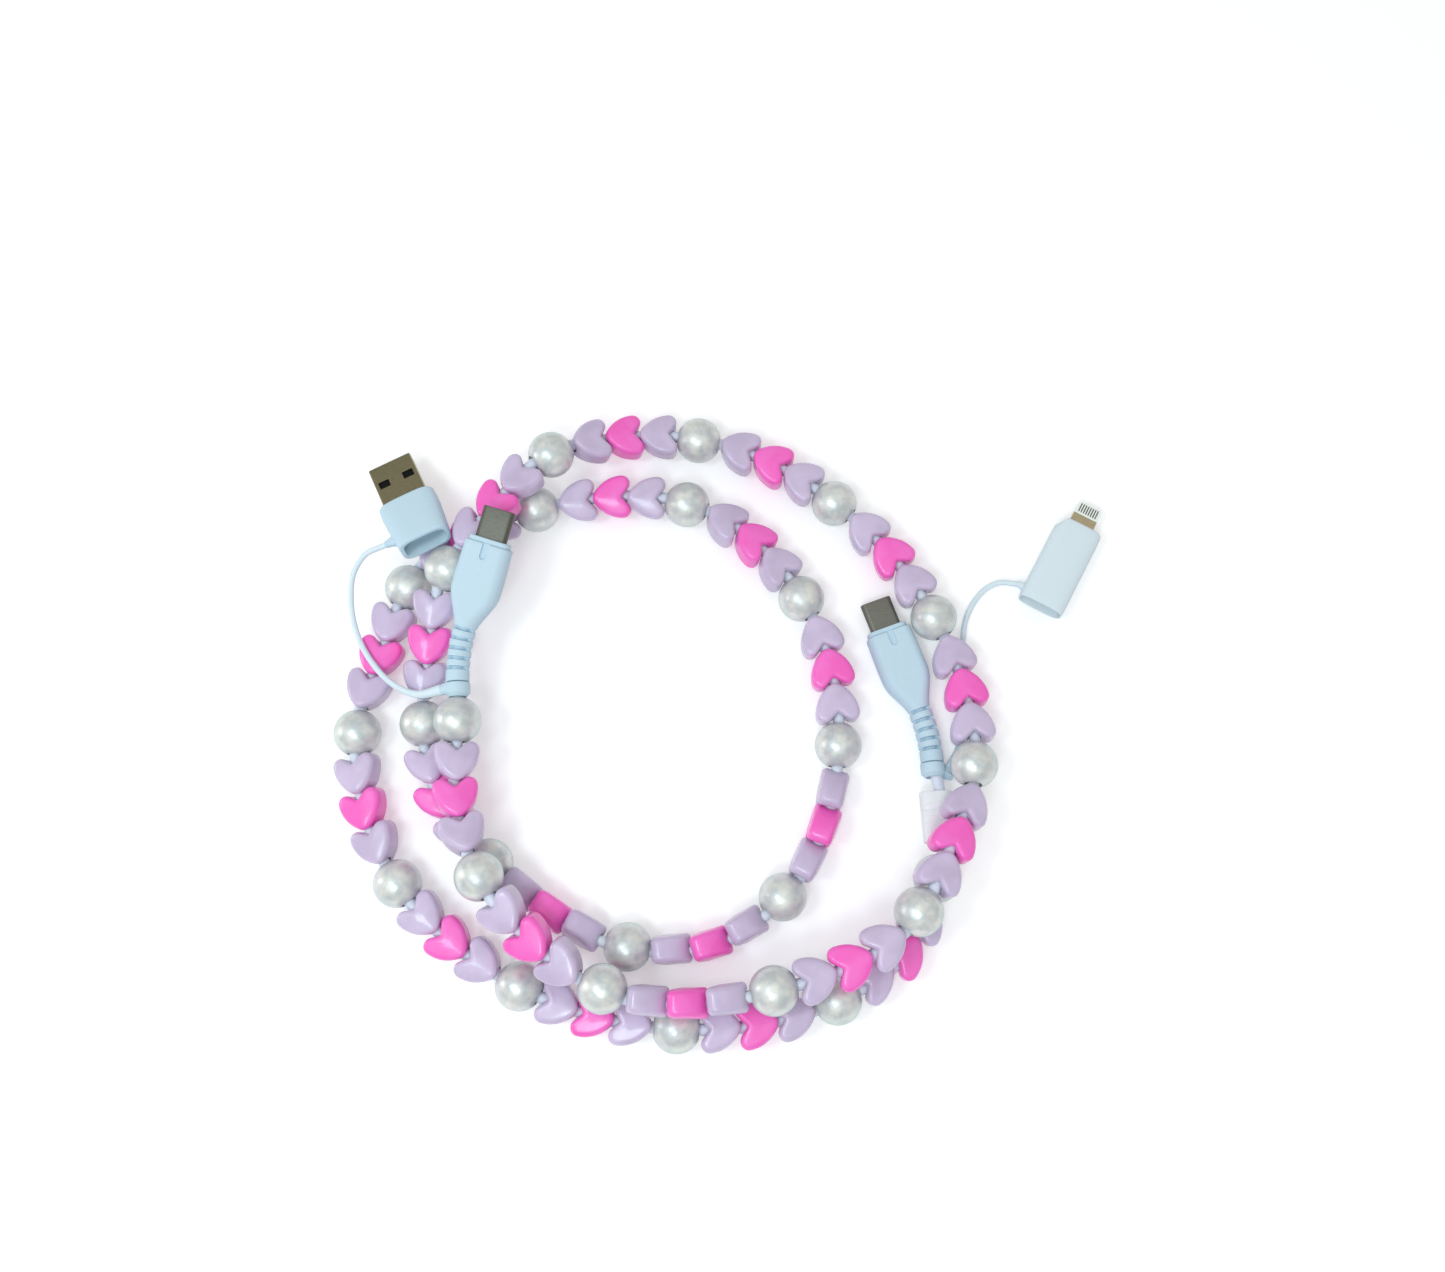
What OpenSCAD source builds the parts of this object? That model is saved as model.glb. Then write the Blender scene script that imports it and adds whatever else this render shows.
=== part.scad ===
// Beaded charging cable: a thin round cord strung with pearls and hearts, a type C plug on each
// end, and an adapter tethered to each plug by a moulded strap.
// The cable lies in loose loops. Millimetres, +Z up, floor at z = 0.

/* [Beads] */
// Diameter of a pearl
pearl_d = 12.1; // [11.6:0.1:12.2]
// Width of a heart across its lobes
heart_w = 11.4; // [10.4:0.1:11.8]
// Length of a heart from its lobes to its point
heart_l = 10; // [9.6:0.1:10.1]
// Thickness of a heart at its middle
heart_t = 7.6; // [6.4:0.1:8]
// Radius of a heart's two lobes
lobe_r = 2.9; // [2.6:0.1:3.2]
// Radius of a heart's point
point_r = 0.8; // [0.5:0.1:1]
// Radius of the crown on a heart's faces
crown_r = 20; // [14:1:40]
// Hole through every bead
bore_d = 4.4; // [4.2:0.1:4.6]
// Distance along a straight cord from a pearl to the heart after it
pearl_to_heart = 10.7; // [10.7:0.1:10.9]
// Distance along a straight cord between two nested hearts
heart_pitch = 9.1; // [9.1:0.1:9.2]
// Distance along a straight cord from the last heart to the next pearl
heart_to_pearl = 10.8; // [10.8:0.1:10.9]
// Play in each group of beads on the loose part of the string
play = 0.5; // [0:0.1:0.6]

/* [Cord] */
// Diameter of the main cord
cord_d = 3; // [2.6:0.1:3.2]
// Diameter of the adapter straps
strap_d = 1.5; // [1.2:0.1:1.8]
// Diameter of a strap where it leaves its ring
strap_root_d = 2.8; // [2:0.1:3]
// Width of the flat sleeve on the cord
sleeve_w = 8.4; // [7:0.1:9.4]
// Thickness of the flat sleeve
sleeve_t = 4.6; // [4.2:0.1:5.4]
// Length of the flat sleeve
sleeve_l = 13; // [8:0.5:14]

/* [Type C plugs] */
// Width of the plug's steel tube
c_w = 8.34; // [8.2:0.02:8.4]
// Thickness of the plug's steel tube
c_t = 2.56; // [2.4:0.02:2.7]
// Wall of the plug's steel tube
c_wall = 0.3; // [0.2:0.05:0.4]
// Length of the steel tube that stands out of the grip
c_out = 8; // [6.6:0.1:9]
// Length of the steel tube inside the grip
c_in = 4.2; // [3:0.1:6]
// Width of the grip at its widest
grip_w = 12.6; // [11.6:0.1:14]
// Thickness of the grip at its thickest
grip_t = 6.8; // [6.2:0.1:7.4]
// Length of the grip from its front to its neck
grip_l = 23; // [20:0.5:26]
// Width of the stepped lip at the grip's front
lip_w = 10.8; // [10.2:0.1:11]
// Thickness of the stepped lip
lip_t = 5.2; // [4.6:0.1:5.3]
// Length of the stepped lip
lip_l = 1.3; // [0.8:0.1:2]
// Diameter of the ribbed strain relief
relief_d = 6; // [5.4:0.1:6.4]
// Length of the ribbed strain relief
relief_l = 14.5; // [13:0.5:17]
// Number of slots along the strain relief
relief_slots = 5; // [3:1:6]
// Width of a slot
slot_w = 1.1; // [0.6:0.1:1.3]
// Number of contacts in a row
c_contacts = 12; // [6:1:12]

/* [Strap rings] */
// Outer diameter of a ring
ring_d = 6.4; // [5.6:0.1:6.6]
// Length of a ring
ring_l = 3.6; // [2.5:0.1:3.6]

/* [Type A adapter] */
// Width of the type A tube
a_w = 12; // [11.9:0.05:12.1]
// Thickness of the type A tube
a_t = 4.5; // [4.4:0.05:4.6]
// Wall of the type A tube
a_wall = 0.3; // [0.2:0.05:0.4]
// Length of the type A tube outside its housing
a_out = 12.4; // [11.7:0.1:12.6]
// Width of the type A adapter's housing
a_body_w = 15.4; // [14.8:0.1:16]
// Thickness of the type A adapter's housing
a_body_t = 8; // [7.4:0.1:8.2]
// Length of the type A adapter's housing
a_body_l = 16.6; // [15.6:0.1:17]

/* [Eight contact adapter] */
// Width of the flat tab
e_w = 6.7; // [6.6:0.05:6.8]
// Thickness of the flat tab
e_t = 1.5; // [1.4:0.05:1.6]
// Length of the flat tab outside its housing
e_out = 6.8; // [6.5:0.1:7]
// Width of the eight contact adapter's housing
e_body_w = 12.4; // [12.2:0.1:13]
// Thickness of the eight contact adapter's housing
e_body_t = 6.8; // [6.8:0.1:7.2]
// Length of the eight contact adapter's housing
e_body_l = 25.4; // [22:0.2:26]

/* [Adapter sockets] */
// Depth of the wide mouth that takes a grip's lip
mouth_l = 5; // [4.6:0.1:5.4]
// Width of the socket's inner opening
socket_w = 8.94; // [8.8:0.02:9]
// Thickness of the socket's inner opening
socket_t = 3.16; // [3.1:0.02:3.2]
// Wall of the socket's steel tube
socket_wall = 0.3; // [0.2:0.05:0.35]
// Length of the socket's steel tube
socket_l = 7; // [6.4:0.1:7.4]

/* [Hidden] */
PEARLS = 26;
PEARL_NAMES = [for (k = [1 : PEARLS]) str("pearl_", k < 10 ? "0" : "", k)];

$fn = 48;
fit = 0.05;           // between pieces fixed in each other
run = 0.3;            // between pieces that move past each other
past = 1;             // how far a cut runs past the face that it opens
origin_shift = [-1.2, -0.05, 0]; // puts the origin under the middle of the whole part

// Route of the main cord, from the left plug's strain relief to the right plug's.
// The upper loops lie on the lower ones, so the first 18 points are raised.
ROUTE = [
    [-67, 8, 14.6], [-66.5, -2, 14.5], [-66, -23, 15.1], [-58, -43, 18.7], [-45, -57, 18.2],
    [-28, -68, 17.2], [12, -68, 17.2], [47, -51, 18], [56, -34, 16.5], [64, -14, 11],
    [63, 7, 7], [56.3, 26.2, 6.2], [30, 59, 6.2], [-7, 77, 6.3], [-27, 77, 7.2],
    [-46, 70, 13.6], [-59.4, 54.8, 15.6], [-72.8, 35.2, 13.5], [-75.7, 17, 9.6], [-77, -3, 6.4],
    [-72, -21, 6.2], [-56, -39, 6.2], [-22, -58, 6.2], [-2, -57, 6.2], [15, -46, 6.2],
    [30, -9, 6.2], [22, 31, 6.2], [-7, 58, 6.2], [-46, 58, 6.2], [-82, 38, 6.2],
    [-88, 20, 6.2], [-94, -1, 6.2], [-83, -40, 6.2], [-52, -66, 6.2], [-13, -77, 6.2],
    [27, -71, 6.2], [45, -60, 6.2], [55, -38, 6.2], [55.8, -18, 4.4], [54.3, -11, 4]
];
// Routes of the two straps, from ring to adapter
LEFT_STRAP = [
    [-71, 6, 14.6], [-77, 5, 13.6], [-84, 8, 12.4], [-90, 14, 11.2], [-94.6, 22, 10.2],
    [-96.4, 30, 10.8], [-95.6, 38, 12.4], [-92.4, 42.2, 14], [-88.2, 43.8, 15]
];
RIGHT_STRAP = [
    [58.7, -12.6, 3.4], [61.5, -7.5, 1.5], [63, 2, 0.9], [64, 12, 0.9], [64, 21, 0.9],
    [65.5, 29, 0.9], [68, 33.5, 0.9], [71, 36.5, 1.2], [74.3, 37.6, 2.8], [77.6, 37.2, 3.2]
];
// Turn of each group of three hearts about the cord, in degrees
GROUP_ROLL = [
    -12, 20, 90, 0, 6, 0, -6, 0, 0, 5, 0, 0, 78, 90, 90, 0, 14, -20, -22, 0, 14, 4, 0, 0, 0
];
LOOSE_FROM = 4;   // groups before the looser part of the string
LOOSE_GROUPS = 6; // groups in the looser part

// ---- vectors and curves ----

function unit(v) = v / norm(v);
function flat_unit(v) = unit([v.x, v.y, 0]);
function gaps(p) = [for (i = [0 : len(p) - 2]) norm(p[i + 1] - p[i])];

// Directions at the points of a route, weighted by the spacing on each side
function slopes(p, d) = let (n = len(p) - 1) [
    for (i = [0 : n])
        i == 0 ? (p[1] - p[0]) / d[0]
        : i == n ? (p[n] - p[n - 1]) / d[n - 1]
        : ((p[i + 1] - p[i]) / d[i] * d[i - 1] + (p[i] - p[i - 1]) / d[i - 1] * d[i]) / (d[i] + d[i - 1])
];

// One cubic stretch between two points with directions
function cubic(a, da, b, db, t) =
    (2 * t ^ 3 - 3 * t ^ 2 + 1) * a + (t ^ 3 - 2 * t ^ 2 + t) * da
    + (3 * t ^ 2 - 2 * t ^ 3) * b + (t ^ 3 - t ^ 2) * db;

// A smooth curve through a route, as close points
function smooth(p, steps) = let (d = gaps(p), s = slopes(p, d), n = len(p) - 1) [
    for (i = [0 : n - 1], k = [0 : steps - 1])
        cubic(p[i], d[i] * s[i], p[i + 1], d[i] * s[i + 1], k / steps),
    p[n]
];

// Distance along a curve at each of its points
function run_length(p) = let (d = gaps(p)) [
    for (i = 0, s = 0; i <= len(d); s = s + (i < len(d) ? d[i] : 0), i = i + 1) s
];
function table(p, s, axis) = [for (i = [0 : len(p) - 1]) [s[i], p[i][axis]]];
function tables(p) = let (s = run_length(p)) [
    table(p, s, 0), table(p, s, 1), table(p, s, 2), s[len(s) - 1]
];
function place(t, s) = [lookup(s, t[0]), lookup(s, t[1]), lookup(s, t[2])];
function heading(t, s) = unit(place(t, min(s + 0.5, t[3])) - place(t, max(s - 0.5, 0)));

CURVE = tables(smooth(ROUTE, 24));
CORD_L = CURVE[3];
LEFT_CURVE = tables(smooth(LEFT_STRAP, 8));
RIGHT_CURVE = tables(smooth(RIGHT_STRAP, 8));

// ---- where the beads are ----

pearl_half = sqrt(pearl_d ^ 2 - bore_d ^ 2) / 2; // half the length of its bore
heart_half = 4;                                  // half the length of a heart's bore
first_pearl = run + ring_l + run + pearl_half;

// Beads stand further apart where the cord bends: mm per degree, from each bead to the next
STRAIGHT = [pearl_to_heart, heart_pitch, heart_pitch, heart_to_pearl];
SPREAD = [0.05, 0.032, 0.032, 0.02];
EDGE_ON = [0.01, 0.03, 0.03, 0.04]; // added where the hearts stand on edge
function turn(s, d) = acos(min(heading(CURVE, s) * heading(CURVE, s + d), 1));
function is_loose(g) = g >= LOOSE_FROM && g < LOOSE_FROM + LOOSE_GROUPS;
function to_next(i, s) =
    STRAIGHT[i % 4]
    + (SPREAD[i % 4] + EDGE_ON[i % 4] * sin(GROUP_ROLL[floor(i / 4)]) ^ 2) * turn(s, STRAIGHT[i % 4])
    + (is_loose(floor(i / 4)) ? play / 4 : 0);
LAST = 4 * (PEARLS - 1);
BEADS = [for (i = 0, s = first_pearl; i <= LAST; s = s + (i < LAST ? to_next(i, s) : 0), i = i + 1) s];
function pearl_at(k) = BEADS[4 * k];
function heart_at(g, h) = BEADS[4 * g + 1 + h];
sleeve_gap = 3.6; // bare cord between the sleeve and the right ring
sleeve_end = CORD_L - run - ring_l - run - sleeve_gap;

// The cord runs straight through each pearl and its neighbours, and turns at these stations
STATIONS = concat(
    [0],
    [
        for (g = [0 : PEARLS - 1]) each concat(
            [pearl_at(g) - pearl_half, pearl_at(g) + pearl_half],
            g < PEARLS - 1 ? [heart_at(g, 1)] : []
        )
    ],
    [CORD_L]
);
function station_table(axis) = [for (s = STATIONS) [s, lookup(s, CURVE[axis])]];
CORD = [station_table(0), station_table(1), station_table(2), CORD_L];

// ---- placing ----

// Puts children with their x axis along x and their y axis as near y as can be
module put(at, x, y) {
    z1 = unit(cross(unit(x), y));
    y1 = cross(z1, unit(x));
    x1 = unit(x);
    multmatrix([
        [x1.x, y1.x, z1.x, at.x],
        [x1.y, y1.y, z1.y, at.y],
        [x1.z, y1.z, z1.z, at.z]
    ])
        children();
}
function side_of(x) = cross([0, 0, 1], flat_unit(x));

// A bead of half length h settles between the turns of the cord inside it
module on_cord(s, h, roll = 0) {
    a = place(CORD, s - h);
    b = place(CORD, s + h);
    put((a + b) / 4 + place(CORD, s) / 2, b - a, side_of(b - a)) rotate([roll, 0, 0]) children();
}

// ---- shapes ----

// A closed skin through rings that have the same number of points
module skin(rings) {
    m = len(rings[0]);
    n = len(rings);
    sides = [
        for (i = [0 : n - 2], j = [0 : m - 1]) let (a = i * m + j, b = i * m + (j + 1) % m)
            each [[a, a + m, b], [b, a + m, b + m]]
    ];
    polyhedron(
        points = [for (r = rings) each r],
        faces = concat([[for (j = [0 : m - 1]) j]], sides, [[for (j = [m - 1 : -1 : 0]) (n - 1) * m + j]])
    );
}

// A round tube along a curve; radii is a function of the distance along it
module tube(t, stations, sides, radii) {
    skin([
        for (s = stations) let (
            x = heading(t, s), y = unit(side_of(x)), z = cross(x, y), c = place(t, s)
        ) [
            for (j = [0 : sides - 1]) let (a = 360 * (j + 0.5) / sides)
                c + radii(s) * (cos(a) * y + sin(a) * z)
        ]
    ]);
}

// Rounded rectangle as one even curve: the power sets how square it is
function soft_box(w, t, power, n) = [
    for (i = [0 : n - 1]) let (a = 360 * (i + 0.5) / n, c = cos(a), s = sin(a))
        [sign(c) * w / 2 * abs(c) ^ (2 / power), sign(s) * t / 2 * abs(s) ^ (2 / power)]
];

// A body lofted along x through stations of [x, width, thickness, power]
module loft(stations, n) {
    skin([
        for (st = stations)
            [for (p = soft_box(st[1], st[2], st[3], n)) [st[0], p.x, p.y]]
    ]);
}

// Flat tube outline with round ends
module stadium(w, t) {
    translate([-(w - t) / 2, -t / 2]) square([w - t, t]);
    for (side = [-1, 1]) translate([side * (w - t) / 2, 0]) circle(d = t);
}

// Prism along x, from x0 to x1, of an outline drawn across
module along_x(x0, x1) {
    translate([x0, 0, 0]) rotate([90, 0, 90]) linear_extrude(height = x1 - x0) children();
}

// ---- beads ----

module pearl(k) {
    color("#d5d9d4")
    on_cord(pearl_at(k), pearl_half) rotate([0, 90, 0])
        difference() {
            sphere(d = pearl_d);
            cylinder(d = bore_d, h = pearl_d + 2 * past, center = true);
        }
}

function arc(c, r, from, to, n) = [
    for (i = [0 : n]) let (a = from + (to - from) * i / n) c + r * [cos(a), sin(a)]
];

// Outline of a heart, point towards +x, middle of its length at the origin
lobe = [lobe_r - heart_l / 2, heart_w / 2 - lobe_r];
tip = [heart_l / 2 - point_r, 0];
flank = atan2(lobe.y, tip.x - lobe.x);
tangent = 90 - flank - asin((lobe_r - point_r) / norm(tip - lobe));
half_heart = concat(
    arc(tip, point_r, 0, tangent, 3),
    arc(lobe, lobe_r, tangent, 180 + asin(min(lobe.y / lobe_r, 1)), 9)
);
module heart_outline() {
    n = len(half_heart);
    polygon(concat(
        [for (i = [0 : n - 1]) half_heart[i]],
        [for (i = [n - 2 : -1 : 1]) [half_heart[i].x, -half_heart[i].y]]
    ));
}

lobe_ease = 0.9; // how far outside the lobes the sphere lies that rounds them
ease_back = 1;   // how far behind the middle of a heart that sphere lies
module heart() {
    edge_r = heart_w / 2 + lobe_ease;
    crown_z = heart_t / 2 - crown_r;
    difference() {
        intersection() {
            linear_extrude(height = heart_t, center = true) heart_outline();
            translate([-ease_back, 0, 0]) sphere(r = edge_r);
            translate([0, 0, crown_z]) sphere(r = crown_r);
            translate([0, 0, -crown_z]) sphere(r = crown_r);
        }
        rotate([0, 90, 0]) cylinder(d = bore_d, h = heart_l + 2 * past, center = true);
    }
}

module heart_on_cord(g, h) {
    on_cord(heart_at(g, h), heart_half, GROUP_ROLL[g]) heart();
}
module lavender_hearts() {
    color("#c3b1db")
    for (g = [0 : PEARLS - 2], h = [0, 2]) heart_on_cord(g, h);
}
module pink_hearts() {
    color("#ff5fc6")
    for (g = [0 : PEARLS - 2]) heart_on_cord(g, 1);
}

// ---- cord, sleeve and straps ----

module main_cord() {
    color("#dfe9f2") tube(CORD, STATIONS, 8, function(s) cord_d / 2);
}

crease = 0.25;  // depth of the soft crease across the sleeve
crease_w = 0.6;
crease_at = 1.9; // from the middle of the sleeve towards the plug
module cord_sleeve() {
    hole = cord_d + 2 * run;
    color("#f1f4f6")
    on_cord(sleeve_end - sleeve_l / 2, sleeve_l / 2)
        difference() {
            loft([
                [-sleeve_l / 2, sleeve_w, sleeve_t, 3.2], [crease_at - crease_w / 2, sleeve_w, sleeve_t, 3.2],
                [crease_at, sleeve_w, sleeve_t - 2 * crease, 3.2],
                [crease_at + crease_w / 2, sleeve_w, sleeve_t, 3.2], [sleeve_l / 2, sleeve_w, sleeve_t, 3.2]
            ], 32);
            rotate([0, 90, 0]) cylinder(d = hole, h = sleeve_l + 2 * past, center = true);
        }
}

function even(t, n) = [for (i = [0 : n - 1]) t[3] * i / (n - 1)];
flare = 3.5; // length over which a strap's root thins out
function strap_r(s) = (strap_d + (strap_root_d - strap_d) * exp(-s / flare)) / 2;
module left_strap() {
    color("#cfe3ee") tube(LEFT_CURVE, even(LEFT_CURVE, 22), 8, function(s) strap_r(s));
}
module right_strap() {
    color("#cfe3ee") tube(RIGHT_CURVE, even(RIGHT_CURVE, 22), 8, function(s) strap_r(s));
}

// ---- plugs ----

function aim(yaw, pitch) = [cos(pitch) * cos(yaw), cos(pitch) * sin(yaw), sin(pitch)];
LEFT_AIM = aim(72.3, 16);
RIGHT_AIM = aim(110.2, 0);

// The strain relief bends evenly from the cord's own direction to the grip's
LEFT_END = ROUTE[0];
LEFT_START = -heading(CORD, 0);
RIGHT_END = ROUTE[len(ROUTE) - 1];
RIGHT_START = heading(CORD, CORD_L);
function bend(from, to) = acos(from * to);
function bend_r(angle) = relief_l * 180 / (PI * angle);
function grip_front(end, from, to) = let (angle = bend(from, to))
    end + 2 * bend_r(angle) * sin(angle / 2) * unit(from + to) + grip_l * to;

module on_left_plug() {
    put(grip_front(LEFT_END, LEFT_START, LEFT_AIM), LEFT_AIM, side_of(LEFT_AIM)) children();
}
module on_right_plug() {
    put(grip_front(RIGHT_END, RIGHT_START, RIGHT_AIM), RIGHT_AIM, side_of(RIGHT_AIM)) children();
}

plain_l = 3.2;   // smooth part of the strain relief, next to the ring
slot_depth = 0.7;
spine = 0.8;     // left between a slot and the side of the strain relief
module strain_relief(end, from, to) {
    angle = bend(from, to);
    r = bend_r(angle);
    pitch = (relief_l - plain_l) / relief_slots;
    color("#cfe3ee")
    put(end, from, to - (to * from) * from)
        translate([0, r, 0]) rotate([0, 0, -90])
            difference() {
                rotate_extrude(angle = angle) translate([r, 0]) circle(d = relief_d);
                for (k = [0 : relief_slots - 1], side = [-1, 1])
                    rotate([0, 0, angle * (plain_l + (k + 0.5) * pitch) / relief_l])
                        translate([r, 0, side * relief_d / 2])
                            cube([relief_d - 2 * spine, slot_w, 2 * slot_depth], center = true);
            }
}

// How wide the grip is between its neck (0) and its full size (1), from neck to front
GRIP = [[1, 0], [0.93, 0.12], [0.85, 0.36], [0.76, 0.62], [0.66, 0.84], [0.56, 0.95], [0.42, 1], [0.25, 0.98],
    [0.1, 0.94], [0.075, 0.9], [0.055, 0.82]];
groove_w = 1.3;
groove_l = 4.5;
groove_sink = 0.55; // from the thickest level of the grip down to the groove's floor
board_w = 6.6;
board_t = 0.8;
board_l = 8;
module plug_grip() {
    color("#cfe3ee")
    difference() {
        union() {
            loft([
                for (g = GRIP) [
                    -g[0] * grip_l, relief_d + g[1] * (grip_w - relief_d),
                    relief_d + g[1] * (grip_t - relief_d), 2 + 1.8 * g[1]
                ]
            ], 36);
            along_x(-2 * lip_l, 0) polygon(soft_box(lip_w, lip_t, 3.6, 36));
        }
        along_x(-c_in - fit, past) stadium(c_w + 2 * fit, c_t + 2 * fit);
        along_x(-c_in - board_l - fit, -c_in) square([board_w + 2 * fit, board_t + 2 * fit], center = true);
        translate([-lip_l - groove_l / 2, 0, grip_t / 2])
            cube([groove_l, groove_w, 2 * groove_sink], center = true);
    }
}

module plug_shell() {
    color("#8f8d80")
    along_x(-c_in, c_out)
        difference() {
            stadium(c_w, c_t);
            stadium(c_w - 2 * c_wall, c_t - 2 * c_wall);
        }
}

inner_w = c_w - 2 * c_wall - 2 * fit;
inner_t = c_t - 2 * c_wall - 2 * fit;
slit_w = 6.9;   // takes the socket's tongue
slit_t = 1.1;
slit_l = 6.6;
contact_pitch = 0.5;
contact_w = 0.26;
contact_t = 0.12;
contact_l = 5;
latch_w = 0.3;
latch_t = 0.7;
module plug_insulator() {
    color("#2b2d30")
    difference() {
        along_x(-c_in, c_out - c_wall) stadium(inner_w, inner_t);
        along_x(c_out - slit_l, c_out + past) square([slit_w, slit_t], center = true);
    }
}
module plug_contacts() {
    color("#d8b46a")
    for (i = [0 : c_contacts - 1], side = [-1, 1])
        translate([
            c_out - slit_l + contact_l / 2, (i - (c_contacts - 1) / 2) * contact_pitch,
            side * (slit_t - contact_t) / 2
        ])
            cube([contact_l, contact_w, contact_t], center = true);
}
module plug_latches() {
    color("#b9bcc0")
    for (side = [-1, 1])
        translate([c_out - slit_l + contact_l / 2, side * (slit_w - latch_w) / 2, 0])
            cube([contact_l, latch_w, latch_t], center = true);
}
module plug_board() {
    color("#2f6b46")
    along_x(-c_in - board_l, -c_in) square([board_w, board_t], center = true);
}

module left_plug_grip() { on_left_plug() plug_grip(); }
module left_strain_relief() { strain_relief(LEFT_END, LEFT_START, LEFT_AIM); }
module left_plug_shell() { on_left_plug() plug_shell(); }
module left_plug_insulator() { on_left_plug() plug_insulator(); }
module left_plug_contacts() { on_left_plug() plug_contacts(); }
module left_plug_latches() { on_left_plug() plug_latches(); }
module left_plug_board() { on_left_plug() plug_board(); }
module right_plug_grip() { on_right_plug() plug_grip(); }
module right_strain_relief() { strain_relief(RIGHT_END, RIGHT_START, RIGHT_AIM); }
module right_plug_shell() { on_right_plug() plug_shell(); }
module right_plug_insulator() { on_right_plug() plug_insulator(); }
module right_plug_contacts() { on_right_plug() plug_contacts(); }
module right_plug_latches() { on_right_plug() plug_latches(); }
module right_plug_board() { on_right_plug() plug_board(); }

// ---- rings that hold the straps ----

ring_bore = cord_d + 2 * run;
ring_end_d = ring_d - 1.6; // where the ring tapers, on the side away from the plug
stub_l = 2.2;
// Centre of the ring at distance s, tapering towards +x, with a stub that meets the strap
module strap_ring(s, away, strap) {
    start = place(strap, 0);
    color("#cfe3ee")
    difference() {
        union() {
            on_cord(s, ring_l / 2) rotate([0, 90 * away, 0])
                rotate_extrude() polygon([
                    [0, -ring_l / 2], [ring_d / 2, -ring_l / 2], [ring_d / 2, ring_l / 4],
                    [ring_end_d / 2, ring_l / 2], [0, ring_l / 2]
                ]);
            put(start, -heading(strap, 0), side_of(heading(strap, 0)))
                rotate([0, 90, 0]) cylinder(d = strap_root_d, h = stub_l);
        }
        on_cord(s, ring_l / 2)
            rotate([0, 90, 0])
                cylinder(d = ring_bore, h = ring_l + 4 * past, center = true);
    }
}
module left_strap_ring() { strap_ring(run + ring_l / 2, 1, LEFT_CURVE); }
module right_strap_ring() { strap_ring(CORD_L - run - ring_l / 2, -1, RIGHT_CURVE); }

// ---- adapters ----

boss_d = 2.6;  // upright boss at the end of a strap, on the adapter
boss_h = 2.6;
foot_l = 3.2;     // foot between a boss and its housing
foot_neck_d = 2.2;
foot_base_d = 4;
// Each adapter is placed by the back end of its housing, where its strap and its mouth are
TYPE_A_AIM = aim(117, -19);
TYPE_A_BACK = [-76.4, 44.2, 16.9];
EIGHT_AIM = aim(61.3, -1);
EIGHT_BACK = [84.2, 30.5, 4.1];
mouth_play = 0.3; // round a grip's lip in an adapter's mouth

TYPE_A_FRONT = TYPE_A_BACK + a_body_l * TYPE_A_AIM;
EIGHT_FRONT = EIGHT_BACK + e_body_l * EIGHT_AIM;
module on_type_a() { put(TYPE_A_FRONT, TYPE_A_AIM, side_of(TYPE_A_AIM)) children(); }
module on_eight() { put(EIGHT_FRONT, EIGHT_AIM, side_of(EIGHT_AIM)) children(); }

// The boss that ends a strap stands along the adapter's own upright, with a flared foot
module boss(strap, aim) {
    end = place(strap, strap[3]) + (boss_d / 2 + run) * heading(strap, strap[3]);
    put(end, aim, side_of(aim)) {
        cylinder(d = boss_d, h = boss_h, center = true);
        rotate([90, 0, 0]) cylinder(d1 = foot_neck_d, d2 = foot_base_d, h = foot_l);
    }
}

// Where a grip's lip and tube go in, at the back end of a housing
module mouth(back) {
    along_x(back - past, back + mouth_l)
        polygon(soft_box(lip_w + 2 * mouth_play, lip_t + 2 * mouth_play, 3.6, 36));
    along_x(back + mouth_l - 2 * fit, back + mouth_l + socket_l)
        stadium(socket_w + 2 * socket_wall + 2 * fit, socket_t + 2 * socket_wall + 2 * fit);
}
module socket_shell(back) {
    color("#b9bcc0")
    along_x(back + mouth_l, back + mouth_l + socket_l)
        difference() {
            stadium(socket_w + 2 * socket_wall, socket_t + 2 * socket_wall);
            stadium(socket_w, socket_t);
        }
}
tongue_w = 6.7;
tongue_t = 0.7;
tongue_l = 4.5;
socket_back = 1.6; // block behind the tongue
module socket_tongue(back) {
    root = back + mouth_l + socket_l;
    color("#2b2d30") {
        along_x(root - socket_back, root) stadium(socket_w - 2 * fit, socket_t - 2 * fit);
        along_x(root - socket_back - tongue_l, root - socket_back + 2 * fit)
            square([tongue_w, tongue_t], center = true);
    }
}

a_in = 3; // type A tube inside its housing
module type_a_housing() {
    color("#cfe3ee")
    difference() {
        union() {
            on_type_a() loft([
                for (st = [[-1, 0.93], [-0.96, 0.98], [-0.6, 1], [-0.14, 1], [-0.05, 0.96], [0, 0.86]])
                    [st[0] * a_body_l, st[1] * a_body_w, st[1] * a_body_t, 4]
            ], 40);
            boss(LEFT_CURVE, TYPE_A_AIM);
        }
        on_type_a() {
            mouth(-a_body_l);
            along_x(-a_in - fit, past) square([a_w + 2 * fit, a_t + 2 * fit], center = true);
        }
    }
}
hole_w = 2.5; // two latch holes in each broad face of the type A tube
hole_l = 2.2;
hole_side = 3.4;
hole_back = 5.4;
module type_a_shell() {
    color("#8b8464")
    on_type_a()
        difference() {
            along_x(-a_in, a_out) difference() {
                square([a_w, a_t], center = true);
                square([a_w - 2 * a_wall, a_t - 2 * a_wall], center = true);
            }
            for (side = [-1, 1])
                translate([a_out - hole_back, side * hole_side, 0])
                    cube([hole_l, hole_w, a_t + 2 * past], center = true);
        }
}
a_block_t = 1.9;
a_block_w = a_w - 2 * a_wall - 2 * fit;
a_block_top = a_block_t + fit + a_wall - a_t / 2;
a_block_back = 0.5; // block behind the front of the tube
module type_a_insulator() {
    color("#2b2d30")
    on_type_a()
        translate([-a_in, -a_block_w / 2, a_block_top - a_block_t])
            cube([a_in + a_out - a_block_back, a_block_w, a_block_t]);
}
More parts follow.
